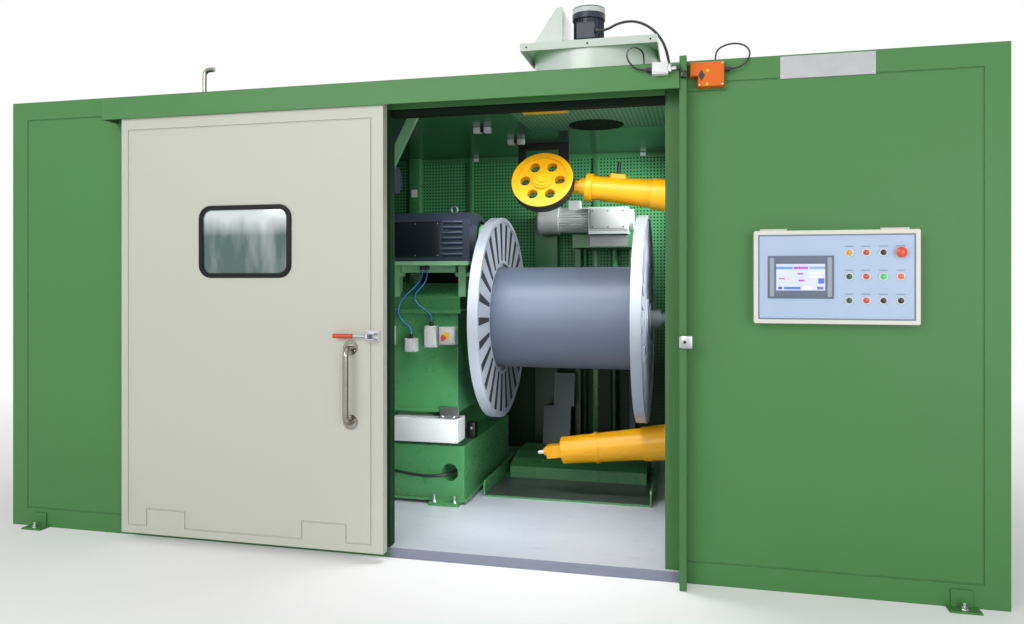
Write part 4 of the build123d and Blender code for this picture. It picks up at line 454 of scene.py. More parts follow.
baseFront = 0.790
terminalY, interlockY, limitY = 1.033, -0.0285, -0.132
hoseX, hoseY = 2.168, 0.840
cables = (
    dict(
        name="fanCable", node="fan_cable", slot="cable_black", radius=0.008, length=0.824, points=(
            (3.2235, terminalY, 2.8975), (3.270, terminalY, 2.8975), (3.340, terminalY, 2.936),
            (3.440, terminalY - 0.004, 2.942), (3.540, terminalY - 0.010, 2.890),
            (3.612, terminalY - 0.012, 2.795), (3.642, terminalY - 0.008, 2.675),
            (3.652, terminalY, 2.550), (3.652, terminalY, 2.426))),
    dict(
        name="interlockCable", node="interlock_cable", slot="cable_black", radius=0.004, length=0.407,
        points=(
            (3.950, interlockY, 2.348), (3.990, interlockY, 2.348), (4.030, interlockY + 0.010, 2.384),
            (4.040, interlockY + 0.034, 2.432), (4.012, interlockY + 0.072, 2.474),
            (3.962, interlockY + 0.112, 2.494), (3.914, interlockY + 0.144, 2.490),
            (3.888, 0.132, 2.468), (3.888, 0.132, 2.426))),
    dict(
        name="limitCable", node="limit_cable", slot="cable_black", radius=0.004, length=0.435, points=(
            (3.584, limitY, 2.3375), (3.548, limitY, 2.3375), (3.506, limitY + 0.006, 2.374),
            (3.490, limitY + 0.036, 2.424), (3.500, limitY + 0.096, 2.468),
            (3.526, limitY + 0.168, 2.492), (3.550, limitY + 0.226, 2.488),
            (3.556, 0.118, 2.466), (3.556, 0.118, 2.426))),
    dict(
        name="baseCable", node="base_cable", slot="cable_black", radius=0.009, length=0.729, points=(
            (1.760, baseFront - 0.034, 0.262), (1.860, baseFront - 0.034, 0.262),
            (1.970, baseFront - 0.038, 0.252), (2.090, baseFront - 0.042, 0.234),
            (2.190, baseFront - 0.046, 0.224), (2.270, baseFront - 0.046, 0.224),
            (2.328, baseFront - 0.022, 0.228), (2.362, baseFront + 0.018, 0.234),
            (2.374, baseFront + 0.066, 0.238), (2.374, baseFront + 0.120, 0.238))),
    dict(
        name="airHoseLeft", node="air_hose_left", slot="hose_blue", radius=0.004, length=0.475, points=(
            (hoseX, hoseY, 1.455), (hoseX, hoseY, 1.411), (2.146, 0.806, 1.363), (2.098, 0.774, 1.313),
            (2.054, 0.758, 1.259), (2.038, 0.754, 1.201), (2.062, 0.757, 1.151), (2.096, 0.764, 1.122),
            (2.122, 0.770, 1.100), (2.122, 0.770, 1.067))),
    dict(
        name="airHoseRight", node="air_hose_right", slot="hose_blue", radius=0.004, length=0.391, points=(
            (hoseX + 0.032, hoseY, 1.455), (hoseX + 0.032, hoseY, 1.411), (2.186, 0.802, 1.359),
            (2.146, 0.770, 1.313), (2.150, 0.754, 1.265), (2.190, 0.750, 1.233), (2.226, 0.758, 1.209),
            (2.251, 0.770, 1.176), (2.251, 0.770, 1.144))),
)


def addCable(s):
    data = bpy.data.curves.new(s["name"], "CURVE")
    data.dimensions = "3D"
    data.bevel_depth = s["radius"]
    data.bevel_resolution = 4
    data.resolution_u = 10
    data.use_fill_caps = True
    line = data.splines.new("NURBS")
    line.points.add(len(s["points"]) - 1)
    for point, spot in zip(line.points, s["points"]):
        point.co = (*at(*spot), 1)
    line.order_u = 3
    line.use_endpoint_u = True
    cable = bpy.data.objects.new(s["name"], data)
    bpy.context.collection.objects.link(cable)
    data.materials.append(finishes[s["slot"]])
    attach(cable, "cabin")
    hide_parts(s["node"])


for cableSettings in cables:
    addCable(cableSettings)
print("cables laid:", len(cables))


# Control panel: blue film in a trim, with screws round it

frontward = (0, -1, 0)  # the way that the cabin's front faces
filmSettings = dict(
    rim=0.018, recess=0.006, thick=0.001, faceHeight=0.407, trim=0.006, screw=0.0035, screwInset=0.012,
)


def addFilm(s):
    low, high = corners("control_box")
    face, t = low.y + s["recess"], s["trim"]
    left, right = low.x + s["rim"], high.x - s["rim"]
    base, head = low.z + s["rim"], low.z + s["faceHeight"] - s["rim"]
    bm = bmesh.new()
    addBlock(bm, (left, face - s["thick"], base), (right, face + s["thick"], head))
    for x0, x1, z0, z1 in ((left, right, base, base + t), (left, right, head - t, head),
                           (left, left + t, base + t, head - t), (right - t, right, base + t, head - t)):
        addBlock(bm, (x0, face - 2 * s["thick"], z0), (x1, face, z1), mat=1)
    for x, z in screwSpots(left, right, base, head, s["screwInset"], middle=True):
        addScrew(bm, (x, face - s["thick"], z), frontward, s["screw"], mat=2)
    finishPiece("panelFilm", bm, [panelBlue, panelTrim, screwSteel])


# Touch screen: a bezel with a bar at each side, round a sunk, lit display

screenSettings = dict(
    inset=0.035, lip=0.006, sink=0.003, edge=0.002, longEdge=0.15, flush=0.0005,
    barStart=0.008, barEnd=0.026, barRise=0.001, barSink=0.002, barEdge=0.0008,
    groundRise=0.00048, tileRise=0.00072, tileBack=0.0002, glow=0.35,
)
# tiles of the lit screen: shares of its width and height, then colour; the first is the ground
screenTiles = (
    (0.00, 0.00, 1.00, 1.00, "#C3CBEE"),
    (0.00, 0.80, 0.34, 0.90, "#5F93D8"),
    (0.36, 0.80, 0.66, 0.90, "#B75AC6"),
    (0.68, 0.80, 1.00, 0.90, "#7FA0AE"),
    (0.05, 0.42, 0.18, 0.47, "#D76A62"),
    (0.20, 0.42, 0.30, 0.47, "#E7C65E"),
    (0.44, 0.60, 0.56, 0.66, "#9A58C8"),
    (0.46, 0.34, 0.58, 0.41, "#A94FD0"),
    (0.70, 0.62, 0.92, 0.68, "#EDF1FA"),
    (0.70, 0.48, 0.92, 0.54, "#EDF1FA"),
    (0.86, 0.26, 0.98, 0.46, "#4E63C8"),
    (0.04, 0.04, 0.12, 0.14, "#4356B8"),
    (0.16, 0.04, 0.50, 0.14, "#5877D6"),
    (0.56, 0.04, 0.72, 0.14, "#EDF1FA"),
    (0.84, 0.04, 0.96, 0.14, "#6A5FD0"),
)


def addScreen(s):
    low, high = corners("touch_screen")
    bm = bmesh.new()
    addBlock(bm, low, high)
    front = [f for f in bm.faces if f.normal.y < -0.5]
    bmesh.ops.inset_region(bm, faces=front, thickness=s["inset"] - s["lip"], use_even_offset=True)
    bmesh.ops.inset_region(bm, faces=front, thickness=s["lip"], depth=-s["sink"], use_even_offset=True)
    rims = [e for e in bm.edges
            if e.calc_length() > s["longEdge"] and all(v.co.y < low.y + s["flush"] for v in e.verts)]
    outer = rims[:4]  # the block's own front edges come before those that the insets made
    bmesh.ops.bevel(bm, geom=outer, offset=s["edge"], segments=2, profile=0.5, affect="EDGES", material=-1)
    near, far = s["barStart"], s["barEnd"]
    for x0, x1 in ((low.x + near, low.x + far), (high.x - far, high.x - near)):
        addBlock(bm, (x0, low.y - s["barRise"], low.z + near), (x1, low.y + s["barSink"], high.z - near),
                 s["barEdge"], 1, mat=1)
    mats = [finishes["screen_plastic"], barPlastic]
    finishPiece("screenBezel", bm, mats, stands=["touch_screen"])

    left, base, glass = low.x + s["inset"], low.z + s["inset"], low.y + s["sink"]
    width, height = high.x - low.x - 2 * s["inset"], high.z - low.z - 2 * s["inset"]
    bm = bmesh.new()
    mats = []
    for layer, (x0, z0, x1, z1, tone) in enumerate(screenTiles):
        rise = s["tileRise"] if layer else s["groundRise"]
        addBlock(bm, (left + x0 * width, glass - rise, base + z0 * height),
                 (left + x1 * width, glass + s["tileBack"], base + z1 * height), mat=layer)
        mats.append(mouldedPlastic("display%02d" % layer, tone, 0.2, depth=0.01, glow=s["glow"]))
    finishPiece("screenDisplay", bm, mats)


# Push buttons: turned bezels and coloured caps, with a bare strip over each
# profiles are pairs of depth and share of the radius

buttonSettings = dict(
    solidRadius=0.015,  # of the bezels in the solids, whose box gives the pitch
    bezelRadius=0.0185,
    bezel=((0, 1), (0.005, 1), (0.007, 0.95), (0.0075, 0.7), (0.0065, 0.63), (0.002, 0.63)),
    capRadius=0.0112, cap=((0.002, 1), (0.011, 1), (0.0128, 0.9), (0.0138, 0.6), (0.014, 0)),
    stopRadius=0.022, stop=((0.016, 0.9), (0.021, 1), (0.026, 0.94), (0.0295, 0.6), (0.030, 0)),
    stopStem=((0.002, 0.011), (0.014, 0.012)), stopPlace=(0, 3),
    litPlaces=((1, 2), (1, 3)), glow=0.25,
    labelWidth=0.036, labelHeight=0.0035, labelRise=0.027, labelThick=0.0016,
)
# from the top row down, as they stand on the panel
buttonColours = (
    ("#EBA41C", "#C2481C", "#101113", "#DE4A22"),
    ("#14573A", "#CC4A1E", "#2CC060", "#EC5A1E"),
    ("#14573A", "#CC4A1E", "#101113", "#101113"),
)


def addButtons(s):
    low, high = corners("push_buttons")
    face = corners("control_box")[0].y + filmSettings["recess"]
    first, ends = s["solidRadius"], s["solidRadius"] + s["stopRadius"]
    lastRow, lastColumn = len(buttonColours) - 1, len(buttonColours[0]) - 1
    stepX, stepZ = (high.x - low.x - ends) / lastColumn, (high.z - low.z - ends) / lastRow
    half = Vector((s["labelWidth"] / 2, 0, s["labelHeight"] / 2))
    rings, caps, labels = bmesh.new(), bmesh.new(), bmesh.new()
    mats = []
    for row, tones in enumerate(buttonColours):
        for column, tone in enumerate(tones):
            place = Vector((low.x + first + column * stepX, face, low.z + first + (lastRow - row) * stepZ))
            addLathe(rings, place, frontward, turned(s["bezel"], s["bezelRadius"]))
            profile = turned(s["cap"], s["capRadius"])
            if (row, column) == s["stopPlace"]:
                profile = [*s["stopStem"], *turned(s["stop"], s["stopRadius"])]
            addLathe(caps, place, frontward, profile, mat=len(mats))
            glow = s["glow"] if (row, column) in s["litPlaces"] else 0
            mats.append(mouldedPlastic("cap%d%d" % (row, column), tone, 0.22, depth=0.01, glow=glow))
            spot = place + Vector((0, 0, s["labelRise"]))
            addBlock(labels, spot - half - Vector((0, s["labelThick"], 0)), spot + half)
    finishPiece("buttonBezels", rings, [ringPlastic], stands=["push_buttons"])
    finishPiece("buttonCaps", caps, mats, stands=["push_buttons"])
    finishPiece("buttonLabels", labels, [captionFilm])


addFilm(filmSettings)
addScreen(screenSettings)
addButtons(buttonSettings)
print("control panel fitted")


# Plates with screws along their edges: the bare name plate over the panel, and the cover of the gear case

platesWithScrews = (
    dict(
        name="topPlate", place=(4.166, 4.564, -0.003, 0, 2.293, 2.394), edge=0.001, steps=1,
        screw=0.004, screwInset=0.012, middle=False, mats=[brushedPlate, screwSteel], slot="bright_steel"),
    dict(
        name="gearCover", place=(3.046, 3.297, 1.966, 1.970, 1.762, 1.906), edge=0.0015, steps=2,
        screw=0.0055, screwInset=0.014, middle=True, mats=[finishes["gear_grey"], finishes["lift_dark"]],
        slot="gear_grey"),
)


def addScrewedPlate(s):
    x0, x1, face, _, z0, z1 = s["place"]
    bm = bmesh.new()
    addBlock(bm, *span(*s["place"]), s["edge"], s["steps"])
    for x, z in screwSpots(x0, x1, z0, z1, s["screwInset"], s["middle"]):
        addScrew(bm, at(x, face, z), frontward, s["screw"], mat=1)
    finishPiece(s["name"], bm, s["mats"])


for plateSettings in platesWithScrews:
    addScrewedPlate(plateSettings)


# Plain plates, strips and sheets, each one block: left, right, front, back, bottom and top

plainPieces = (
    # painted shadow: a dark sheet between the rear lugs, under the motor plate, where there is only shade
    dict(
        name="lugShadowSheet", place=(2.012, 2.396, 1.230, 1.240, 1.370, 1.482), edge=0.001, steps=1,
        mat=bracketAndShadowPaint, slot="machine_green"),
    dict(
        name="sillStrip", place=(2.300, 3.728, -0.004, 0, 0, 0.050), edge=0.0015, steps=2,
        mat=sillSteel, slot="floor_grey"),
    # bare plate on the geared motor's beam
    dict(
        name="beamPlate", place=(3.030, 3.307, 2.047, 2.050, 1.637, 1.718), edge=0.001, steps=1,
        mat=brushedPlate, slot="bright_steel"),
    dict(
        name="tableSheet", place=(2.522, 3.528, 1.006, 1.458, 0.060, 0.062), edge=0.0006, steps=1,
        mat=wornSheet, slot="bright_steel"),
    dict(
        name="ceilingStrip", place=(2.830, 3.090, 0.685, 0.725, 2.344, 2.356), edge=0.002, steps=2,
        mat=yellowFilm, slot="flyer_yellow"),
    dict(
        name="wallChannel", place=(1.560, 1.650, 2.200, 2.275, 0.050, 2.356), edge=0.004, steps=2,
        mat=finishes["machine_green"], slot="machine_green"),
    # behind the interlock switch
    dict(
        name="switchPlate", place=(3.7595, 3.9330, -0.0075, 0, 2.2590, 2.3880), edge=0.0012, steps=1,
        mat=finishes["cabin_green"], slot="cabin_green"),
)


def addPlainPiece(s):
    bm = bmesh.new()
    addBlock(bm, *span(*s["place"]), s["edge"], s["steps"])
    finishPiece(s["name"], bm, [s["mat"]])


for plainSettings in plainPieces:
    addPlainPiece(plainSettings)
print("plates fitted:", len(platesWithScrews) + len(plainPieces))


# Interior: perforated liner in its frame

linerSettings = dict(bar=0.040, bays=5, edge=0.002, sheet=0.005, crossSetback=0.001)


def addLiner(s):
    low, high = corners("rear_liner")
    bay, half, back = (high.x - low.x) / s["bays"], s["bar"] / 2, high.y - s["sheet"]
    sheet = bmesh.new()
    addBlock(sheet, (low.x, back, low.z), high)
    finishPiece("linerSheet", sheet, [rearLiner], stands=["rear_liner"])
    bars = bmesh.new()
    for index in range(s["bays"] + 1):
        x = low.x + index * bay
        addBlock(bars, (max(x - half, low.x), low.y, low.z), (min(x + half, high.x), back, high.z), s["edge"])
    for z in (low.z, high.z - s["bar"]):
        addBlock(bars, (low.x, low.y + s["crossSetback"], z), (high.x, back, z + s["bar"]), s["edge"])
    finishPiece("linerBars", bars, [finishes["machine_green"]], stands=["rear_liner"])


addLiner(linerSettings)


# Dark strips round the doorway, shaped as rubber seals: painted shade on the lintel's underside and on the
# jamb's end face and front edge

doorwayShadeSettings = dict(
    lintel=(2.3035, 3.660, 0.003, 0.056, 2.214, 2.250), jamb=(2.300, 2.3035, -0.004, 0.058, 0.052, 2.250),
    flap=(2.268, 2.300, -0.004, 0, 0.052, 2.250), edge=0.0012,
)


def addDoorwayShade(s):
    bm = bmesh.new()
    for mat, place in ((0, s["lintel"]), (1, s["jamb"]), (1, s["flap"])):
        addBlock(bm, *span(*place), s["edge"], 1, mat=mat)
    finishPiece("doorwayShadeStrips", bm, [paintedShadeBlack, jambShadeGreen])


addDoorwayShade(doorwayShadeSettings)


# Ceiling: plain sheets, and a perforated one over the front of the bay with a dark disc under it, painted
# shade in place of the fan's hole

ceilingSettings = dict(
    inside=(0.062, 5.028, 0.062, 2.274), thick=0.004, top=2.360, edge=0.0008,
    perforatedStart=2.750, perforatedEnd=1.300,
    fan=(3.190, 1.163), fanRadius=0.170, guard=0.003, guardSteps=48,
    bracket=((2.561, 2.617, 2.150, 2.356), (2.851, 2.926, 2.150, 2.356), (2.617, 2.851, 2.309, 2.356)),
    bracketFront=1.740, bracketBack=1.760, bracketEdge=0.002,
)


def addCeiling(s):
    x0, x1, y0, y1 = s["inside"]
    px, py = s["perforatedStart"], s["perforatedEnd"]
    base, top = s["top"] - s["thick"], s["top"]
    bm = bmesh.new()
    for a0, a1, b0, b1, mat in ((x0, px, y0, y1, 0), (px, x1, py, y1, 0), (px, x1, y0, py, 1)):
        addBlock(bm, *span(a0, a1, b0, b1, base, top), s["edge"], 1, mat=mat)
    finishPiece("ceilingSheets", bm, [ceilingEnamel, roofLiner])

    bm = bmesh.new()
    # painted shade: a thin near-black disc where the fan's hole is
    r, drop = s["fanRadius"], s["guard"]
    addLathe(bm, at(*s["fan"], base), (0, 0, -1), [(0, 0), (0, r), (drop, r), (drop, 0)], s["guardSteps"])
    finishPiece("fanHoleShade", bm, [paintedShadeBlack])

    bm = bmesh.new()
    for a0, a1, z0, z1 in s["bracket"]:
        addBlock(bm, *span(a0, a1, s["bracketFront"], s["bracketBack"], z0, z1), s["bracketEdge"], 1)
    finishPiece("ceilingBracket", bm, [bracketAndShadowPaint])


addCeiling(ceilingSettings)


# White hangers under the ceiling, in pairs with a dark link between them

hangerSettings = dict(
    places=((2.480, 1.090), (2.590, 1.550)), width=0.044, depth=0.050, gap=0.034, drop=0.034, edge=0.003,
    linkWidth=0.024, linkInset=0.004, ceiling=2.356,
)


def addHangers(s):
    wide, deep, link = s["width"] / 2, s["depth"] / 2, s["linkWidth"] / 2
    top, inset = s["ceiling"], s["linkInset"]
    base = top - s["drop"]
    bm = bmesh.new()
    for x, y in s["places"]:
        for middle in (x - s["gap"], x + s["gap"]):
            addBlock(bm, *span(middle - wide, middle + wide, y - deep, y + deep, base, top), s["edge"])
        addBlock(bm, *span(x - link, x + link, y - deep + inset, y + deep - inset, base + inset, top), mat=1)
    finishPiece("ceilingHangers", bm, [finishes["switch_white"], blackPlastic])


addHangers(hangerSettings)


# Bare labels on the rear wall and its channel

labelSettings = dict(places=(
    (2.075, 2.115, 2.274, 2.2765, 2.326, 2.352), (3.380, 3.420, 2.274, 2.2765, 2.326, 2.352),
    (1.580, 1.630, 2.198, 2.200, 2.050, 2.110)))


def addLabels(s):
    bm = bmesh.new()
    for place in s["places"]:
        addBlock(bm, *span(*place))
    finishPiece("bareLabels", bm, [labelFilm])


addLabels(labelSettings)
print("interior lined")


# Reel: painted shade, dark blocks that fill the pressed ribs up to just under each flange's face

grooveSettings = dict(
    faces=((2.615, -1), (3.455, 1)),  # inner face of each flange, and the side that the ribs stand on
    axis=(1.120, 1.160), count=26,
    inner=0.357, outer=0.587, innerWidth=0.0234, outerWidth=0.0494,
    sink=0.004, floor=0.034,
)


def addGrooves(s):
    bm = bmesh.new()
    length = s["outer"] - s["inner"]
    for face, outward in s["faces"]:
        middle = face + outward * (s["sink"] + s["floor"]) / 2
        for index in range(s["count"]):
            made = bmesh.ops.create_cube(bm, size=1)["verts"]
            bmesh.ops.scale(bm, vec=(s["floor"] - s["sink"], length, s["innerWidth"]), verts=made)
            wide = [v for v in made if v.co.y > 0]
            bmesh.ops.scale(bm, vec=(1, 1, s["outerWidth"] / s["innerWidth"]), verts=wide)
            bmesh.ops.translate(bm, vec=(0, (s["inner"] + s["outer"]) / 2, 0), verts=made)
            turn = Matrix.Rotation(2 * math.pi * index / s["count"], 3, "X")
            bmesh.ops.rotate(bm, cent=(0, 0, 0), matrix=turn, verts=made)
            bmesh.ops.translate(bm, vec=at(middle, *s["axis"]), verts=made)
    finishPiece("ribShadeFill", bm, [grooveShade], body="reel")


addGrooves(grooveSettings)


# Flyer: dark tread in the pulley's groove

treadSettings = dict(
    place=(2.880, 1.0325, 1.99265), tilt=25, steps=64,
    profile=((-0.0355, 0.168), (-0.0355, 0.1912), (-0.024, 0.1912), (0, 0.176),
             (0.022, 0.1912), (0.030, 0.1912), (0.030, 0.168), (-0.0355, 0.168)),
)


def addTread(s):
    tilt = math.radians(s["tilt"])
    bm = bmesh.new()
    addLathe(bm, at(*s["place"]), (0, -math.cos(tilt), math.sin(tilt)), s["profile"], s["steps"])
    finishPiece("pulleyTread", bm, [treadRubber], body="pulley")


addTread(treadSettings)


# Flyer: the guide post on the upper arm's pad; both arms lean out by the same splay

armSplay = math.radians(7.3)
postSettings = dict(
    arm=(3.860, 1.120, 1.873), along=0.545, radius=0.0112,
    profile=((0.096, 0), (0.096, 1.8), (0.102, 1.8), (0.104, 1), (0.171, 1), (0.176, 0.8), (0.176, 0)),
    padTop=0.096, bolt=0.006, boltAlong=0.034, boltAside=0.026,
)


def addGuidePost(s):
    along = Vector((-math.cos(armSplay), 0, math.sin(armSplay)))
    up = Vector((math.sin(armSplay), 0, math.cos(armSplay)))
    foot = at(*s["arm"]) + along * s["along"]
    bm = bmesh.new()
    addLathe(bm, foot, up, turned(s["profile"], s["radius"]))
    for aside in (-s["boltAside"], s["boltAside"]):
        for reach in (-s["boltAlong"], s["boltAlong"]):
            addHexBolt(bm, foot + along * reach + up * s["padTop"] + Vector((0, aside, 0)), up, s["bolt"])
    finishPiece("guidePost", bm, [blackPlastic], body="flyer")


addGuidePost(postSettings)


# Flyer: the sleeve on the pulley's neck, and the ceramic tip of the lower arm

neckSettings = dict(
    start=(3.104, 1.120, 1.971), end=(2.955, 1.1102, 1.9632), radius=0.040, round=0.006, endShare=0.9,
    steps=40,
)
tipSettings = dict(
    arm=(3.860, 1.120, 0.447), start=0.999, radius=0.0113, length=0.0362, sideShare=0.9, endShare=0.75,
)


def addNeck(s):
    start, end, r = at(*s["start"]), at(*s["end"]), s["radius"]
    reach = (end - start).length
    bm = bmesh.new()
    addLathe(bm, start, end - start, [
        (0, 0), (0, r), (reach - s["round"], r), (reach, r * s["endShare"]), (reach, 0)], s["steps"])
    finishPiece("neckSleeve", bm, [finishes["flyer_yellow"]], body="flyer")


def addTip(s):
    down = Vector((-math.cos(armSplay), 0, -math.sin(armSplay)))
    r, reach = s["radius"], s["length"]
    bm = bmesh.new()
    addLathe(bm, at(*s["arm"]) + down * s["start"], down, [
        (0, 0), (0, r), (reach * s["sideShare"], r), (reach, r * s["endShare"]), (reach, 0)])
    finishPiece("strandTip", bm, [tipCeramic], body="flyer")


addNeck(neckSettings)
addTip(tipSettings)
print("reel and flyer trimmed")


# Headstock: lids and screws on the boxes

boxFaces = (
    # left, right, bottom, top and the depth of each box's front
    (2.088, 2.156, 0.961, 1.041, 0.745),
    (2.214, 2.288, 0.991, 1.118, 0.740),
    (2.308, 2.406, 1.009, 1.113, 0.738),
    (1.950, 2.010, 1.001, 1.113, 0.750),
    (2.002, 2.430, 0.428, 0.571, 0.724),
)
lidSettings = dict(thick=0.006, inset=0.003, edge=0.0025, screwInset=0.010, screw=0.0034)


def addBoxLids(s):
    lids, screws = bmesh.new(), bmesh.new()
    i = s["inset"]
    for x0, x1, z0, z1, y in boxFaces:
        face = y - s["thick"]
        addBlock(lids, *span(x0 + i, x1 - i, face, y, z0 + i, z1 - i), s["edge"])
        for x, z in screwSpots(x0, x1, z0, z1, s["screwInset"]):
            addScrew(screws, at(x, face, z), frontward, s["screw"])
    finishPiece("boxLids", lids, [finishes["box_white"]])
    finishPiece("boxScrews", screws, [screwSteel])


addBoxLids(lidSettings)


# Red switch on a yellow plate, on the third box

boxSwitchSettings = dict(
    plate=(2.334, 2.374, 1.043, 1.083), plateThick=0.002, plateEdge=0.0008,
    knob=(2.341, 1.052), knobRadius=0.011,
    knobProfile=((0, 1.3), (0.004, 1.3), (0.006, 1), (0.023, 0.92), (0.026, 0.7), (0.026, 0)),
    gripWidth=0.008, gripHeight=0.038, gripFront=0.034, gripBack=0.012, gripEdge=0.002,
)


def addBoxSwitch(s):
    face = boxFaces[2][4] - lidSettings["thick"]
    front = face - s["plateThick"]
    x0, x1, z0, z1 = s["plate"]
    x, z = s["knob"]
    wide, tall = s["gripWidth"] / 2, s["gripHeight"] / 2
    bm = bmesh.new()
    addBlock(bm, *span(x0, x1, front, face, z0, z1), s["plateEdge"], 1)
    addLathe(bm, at(x, front, z), frontward, turned(s["knobProfile"], s["knobRadius"]), mat=1)
    grip = span(x - wide, x + wide, face - s["gripFront"], face - s["gripBack"], z - tall, z + tall)
    addBlock(bm, *grip, s["gripEdge"], mat=1)
    finishPiece("boxSwitch", bm, [yellowFilm, finishes["grip_red"]])


addBoxSwitch(boxSwitchSettings)


# Angle bracket on the junction box, and the sensor beside it

bracketSettings = dict(
    foot=(2.300, 2.420, 0.735, 0.800, 0.571, 0.577), upright=(2.300, 2.420, 0.776, 0.782, 0.577, 0.633),
    edge=0.001, bolts=(2.325, 2.395), boltDepth=0.757, boltBase=0.577, bolt=0.007,
)
sensorSettings = dict(
    place=(2.395, 2.445, 1.030, 1.095, 0.400, 0.500), edge=0.004, eye=(2.420, 1.030, 0.465),
    eyeProfile=((0, 0.011), (0.006, 0.011), (0.008, 0.008), (0.008, 0)),
)


def addBoxBracket(s):
    bm = bmesh.new()
    for place in (s["foot"], s["upright"]):
        addBlock(bm, *span(*place), s["edge"], 1)
    for x in s["bolts"]:
        addHexBolt(bm, at(x, s["boltDepth"], s["boltBase"]), (0, 0, 1), s["bolt"], mat=1)
    finishPiece("boxBracket", bm, [finishes["bright_steel"], screwSteel])


def addSensor(s):
    bm = bmesh.new()
    addBlock(bm, *span(*s["place"]), s["edge"])
    addLathe(bm, at(*s["eye"]), frontward, s["eyeProfile"], mat=1)
    finishPiece("slideSensor", bm, [blackPlastic, screwSteel])


addBoxBracket(bracketSettings)
addSensor(sensorSettings)


# Drive motor: screwed cover, louvre blades and lifting eye; with them the bolts of the base's pads

coverSettings = dict(
    face=(1.937, 2.257, 1.531, 1.7555), depth=0.905, thick=0.004, sunk=0.001, margin=0.002, edge=0.0015,
    screw=0.004, screwInset=0.014,
)
padSettings = dict(
    places=(2.275, 2.400, 1.345, 1.475), depth=0.753, top=0.070, bolt=0.016,
    stud=0.008, studRise=0.046, studSides=14,
)
louvreSettings = dict(
    left=2.277, right=2.403, front=0.892, back=0.901, base=1.548, tall=0.010,
    pitch=0.033, count=7, edge=0.003,
)
eyeSettings = dict(place=(2.307, 1.045, 1.836), radius=0.020, wire=0.0068, sides=10, steps=32)


def addMotorTrim(cover, pads, louvres, eye):
    x0, x1, z0, z1 = cover["face"]
    front, m = cover["depth"] - cover["thick"], cover["margin"]
    bm = bmesh.new()
    for x in pads["places"]:
        foot = at(x, pads["depth"], pads["top"])
        addHexBolt(bm, foot, (0, 0, 1), pads["bolt"])
        addRod(bm, foot, foot + Vector((0, 0, pads["studRise"])), pads["stud"], pads["studSides"])
    for x, z in screwSpots(x0, x1, z0, z1, cover["screwInset"], middle=True):
        addScrew(bm, at(x, front, z), frontward, cover["screw"])
    finishPiece("headstockBolts", bm, [screwSteel])

    bm = bmesh.new()
    addBlock(bm, *span(x0 + m, x1 - m, front, cover["depth"] + cover["sunk"], z0 + m, z1 - m), cover["edge"])
    finishPiece("motorCover", bm, [coverPaint])

    bm = bmesh.new()
    for index in range(louvres["count"]):
        z = louvres["base"] + index * louvres["pitch"]
        low = at(louvres["left"], louvres["front"], z)
        high = at(louvres["right"], louvres["back"], z + louvres["tall"])
        addBlock(bm, low, high, louvres["edge"])
    finishPiece("motorLouvres", bm, [louvreHighlightPaint])

    bm = bmesh.new()
    turns = [2 * math.pi * side / eye["sides"] for side in range(eye["sides"] + 1)]
    ring = [(math.sin(turn) * eye["wire"], eye["radius"] + math.cos(turn) * eye["wire"]) for turn in turns]
    addLathe(bm, at(*eye["place"]), (0, 1, 0), ring, eye["steps"])
    finishPiece("motorEye", bm, [finishes["bright_steel"]])


addMotorTrim(coverSettings, padSettings, louvreSettings, eyeSettings)
print("headstock trimmed")


# Interlock switch: its key on the closing strip, a dark diamond, lamps and screws

interlockSettings = dict(
    face=-0.051, diamond=(3.8244, 2.318), diamondSize=0.021, diamondTall=1.7,
    diamondThick=0.003, diamondRise=0.0005,
    key=(3.734, 3.759, -0.128, -0.100, 2.297, 2.327), keyEdge=0.003,
    lamps=((3.8515, 2.3384), (3.8485, 2.2782)), lampRadius=0.0075,
    lampProfile=((0, 1), (0.002, 1), (0.004, 0.6), (0.0045, 0)),
    screws=((3.815, 2.276), (3.916, 2.276), (3.916, 2.371)), screw=0.004,
)


def addInterlockTrim(s):
    x, z = s["diamond"]
    bm = bmesh.new()
    made = bmesh.ops.create_cube(bm, size=1)["verts"]
    bmesh.ops.scale(bm, vec=(s["diamondSize"], s["diamondThick"], s["diamondSize"]), verts=made)
    bmesh.ops.rotate(bm, cent=(0, 0, 0), matrix=Matrix.Rotation(math.radians(45), 3, "Y"), verts=made)
    bmesh.ops.scale(bm, vec=(1, 1, s["diamondTall"]), verts=made)
    bmesh.ops.translate(bm, vec=at(x, s["face"] - s["diamondRise"], z), verts=made)
    addBlock(bm, *span(*s["key"]), s["keyEdge"])
    finishPiece("switchKey", bm, [blackPlastic])

    bm = bmesh.new()
    for x, z in s["lamps"]:
        addLathe(bm, at(x, s["face"], z), frontward, turned(s["lampProfile"], s["lampRadius"]))
    for x, z in s["screws"]:
        addScrew(bm, at(x, s["face"], z), frontward, s["screw"], mat=1)
    finishPiece("switchLamps", bm, [yellowFilm, screwSteel])


addInterlockTrim(interlockSettings)


# Limit switch: screwed lid, and a steel crank with a black roller

limitSettings = dict(
    lid=(3.614, 3.676, -0.155, -0.152, 2.316, 2.359), lidEdge=0.0015,
    screws=((3.621, 2.323), (3.669, 2.352)), screwDepth=-0.155, screw=0.0035,
    crank=(3.680, 3.694, -0.146, -0.128, 2.320, 2.355), crankEdge=0.002,
    roller=(3.726, -0.1295, 2.3375), rollerRadius=0.0112,
    rollerProfile=((0, 0), (0, 1), (0.016, 1), (0.019, 0.85), (0.019, 0)),
)


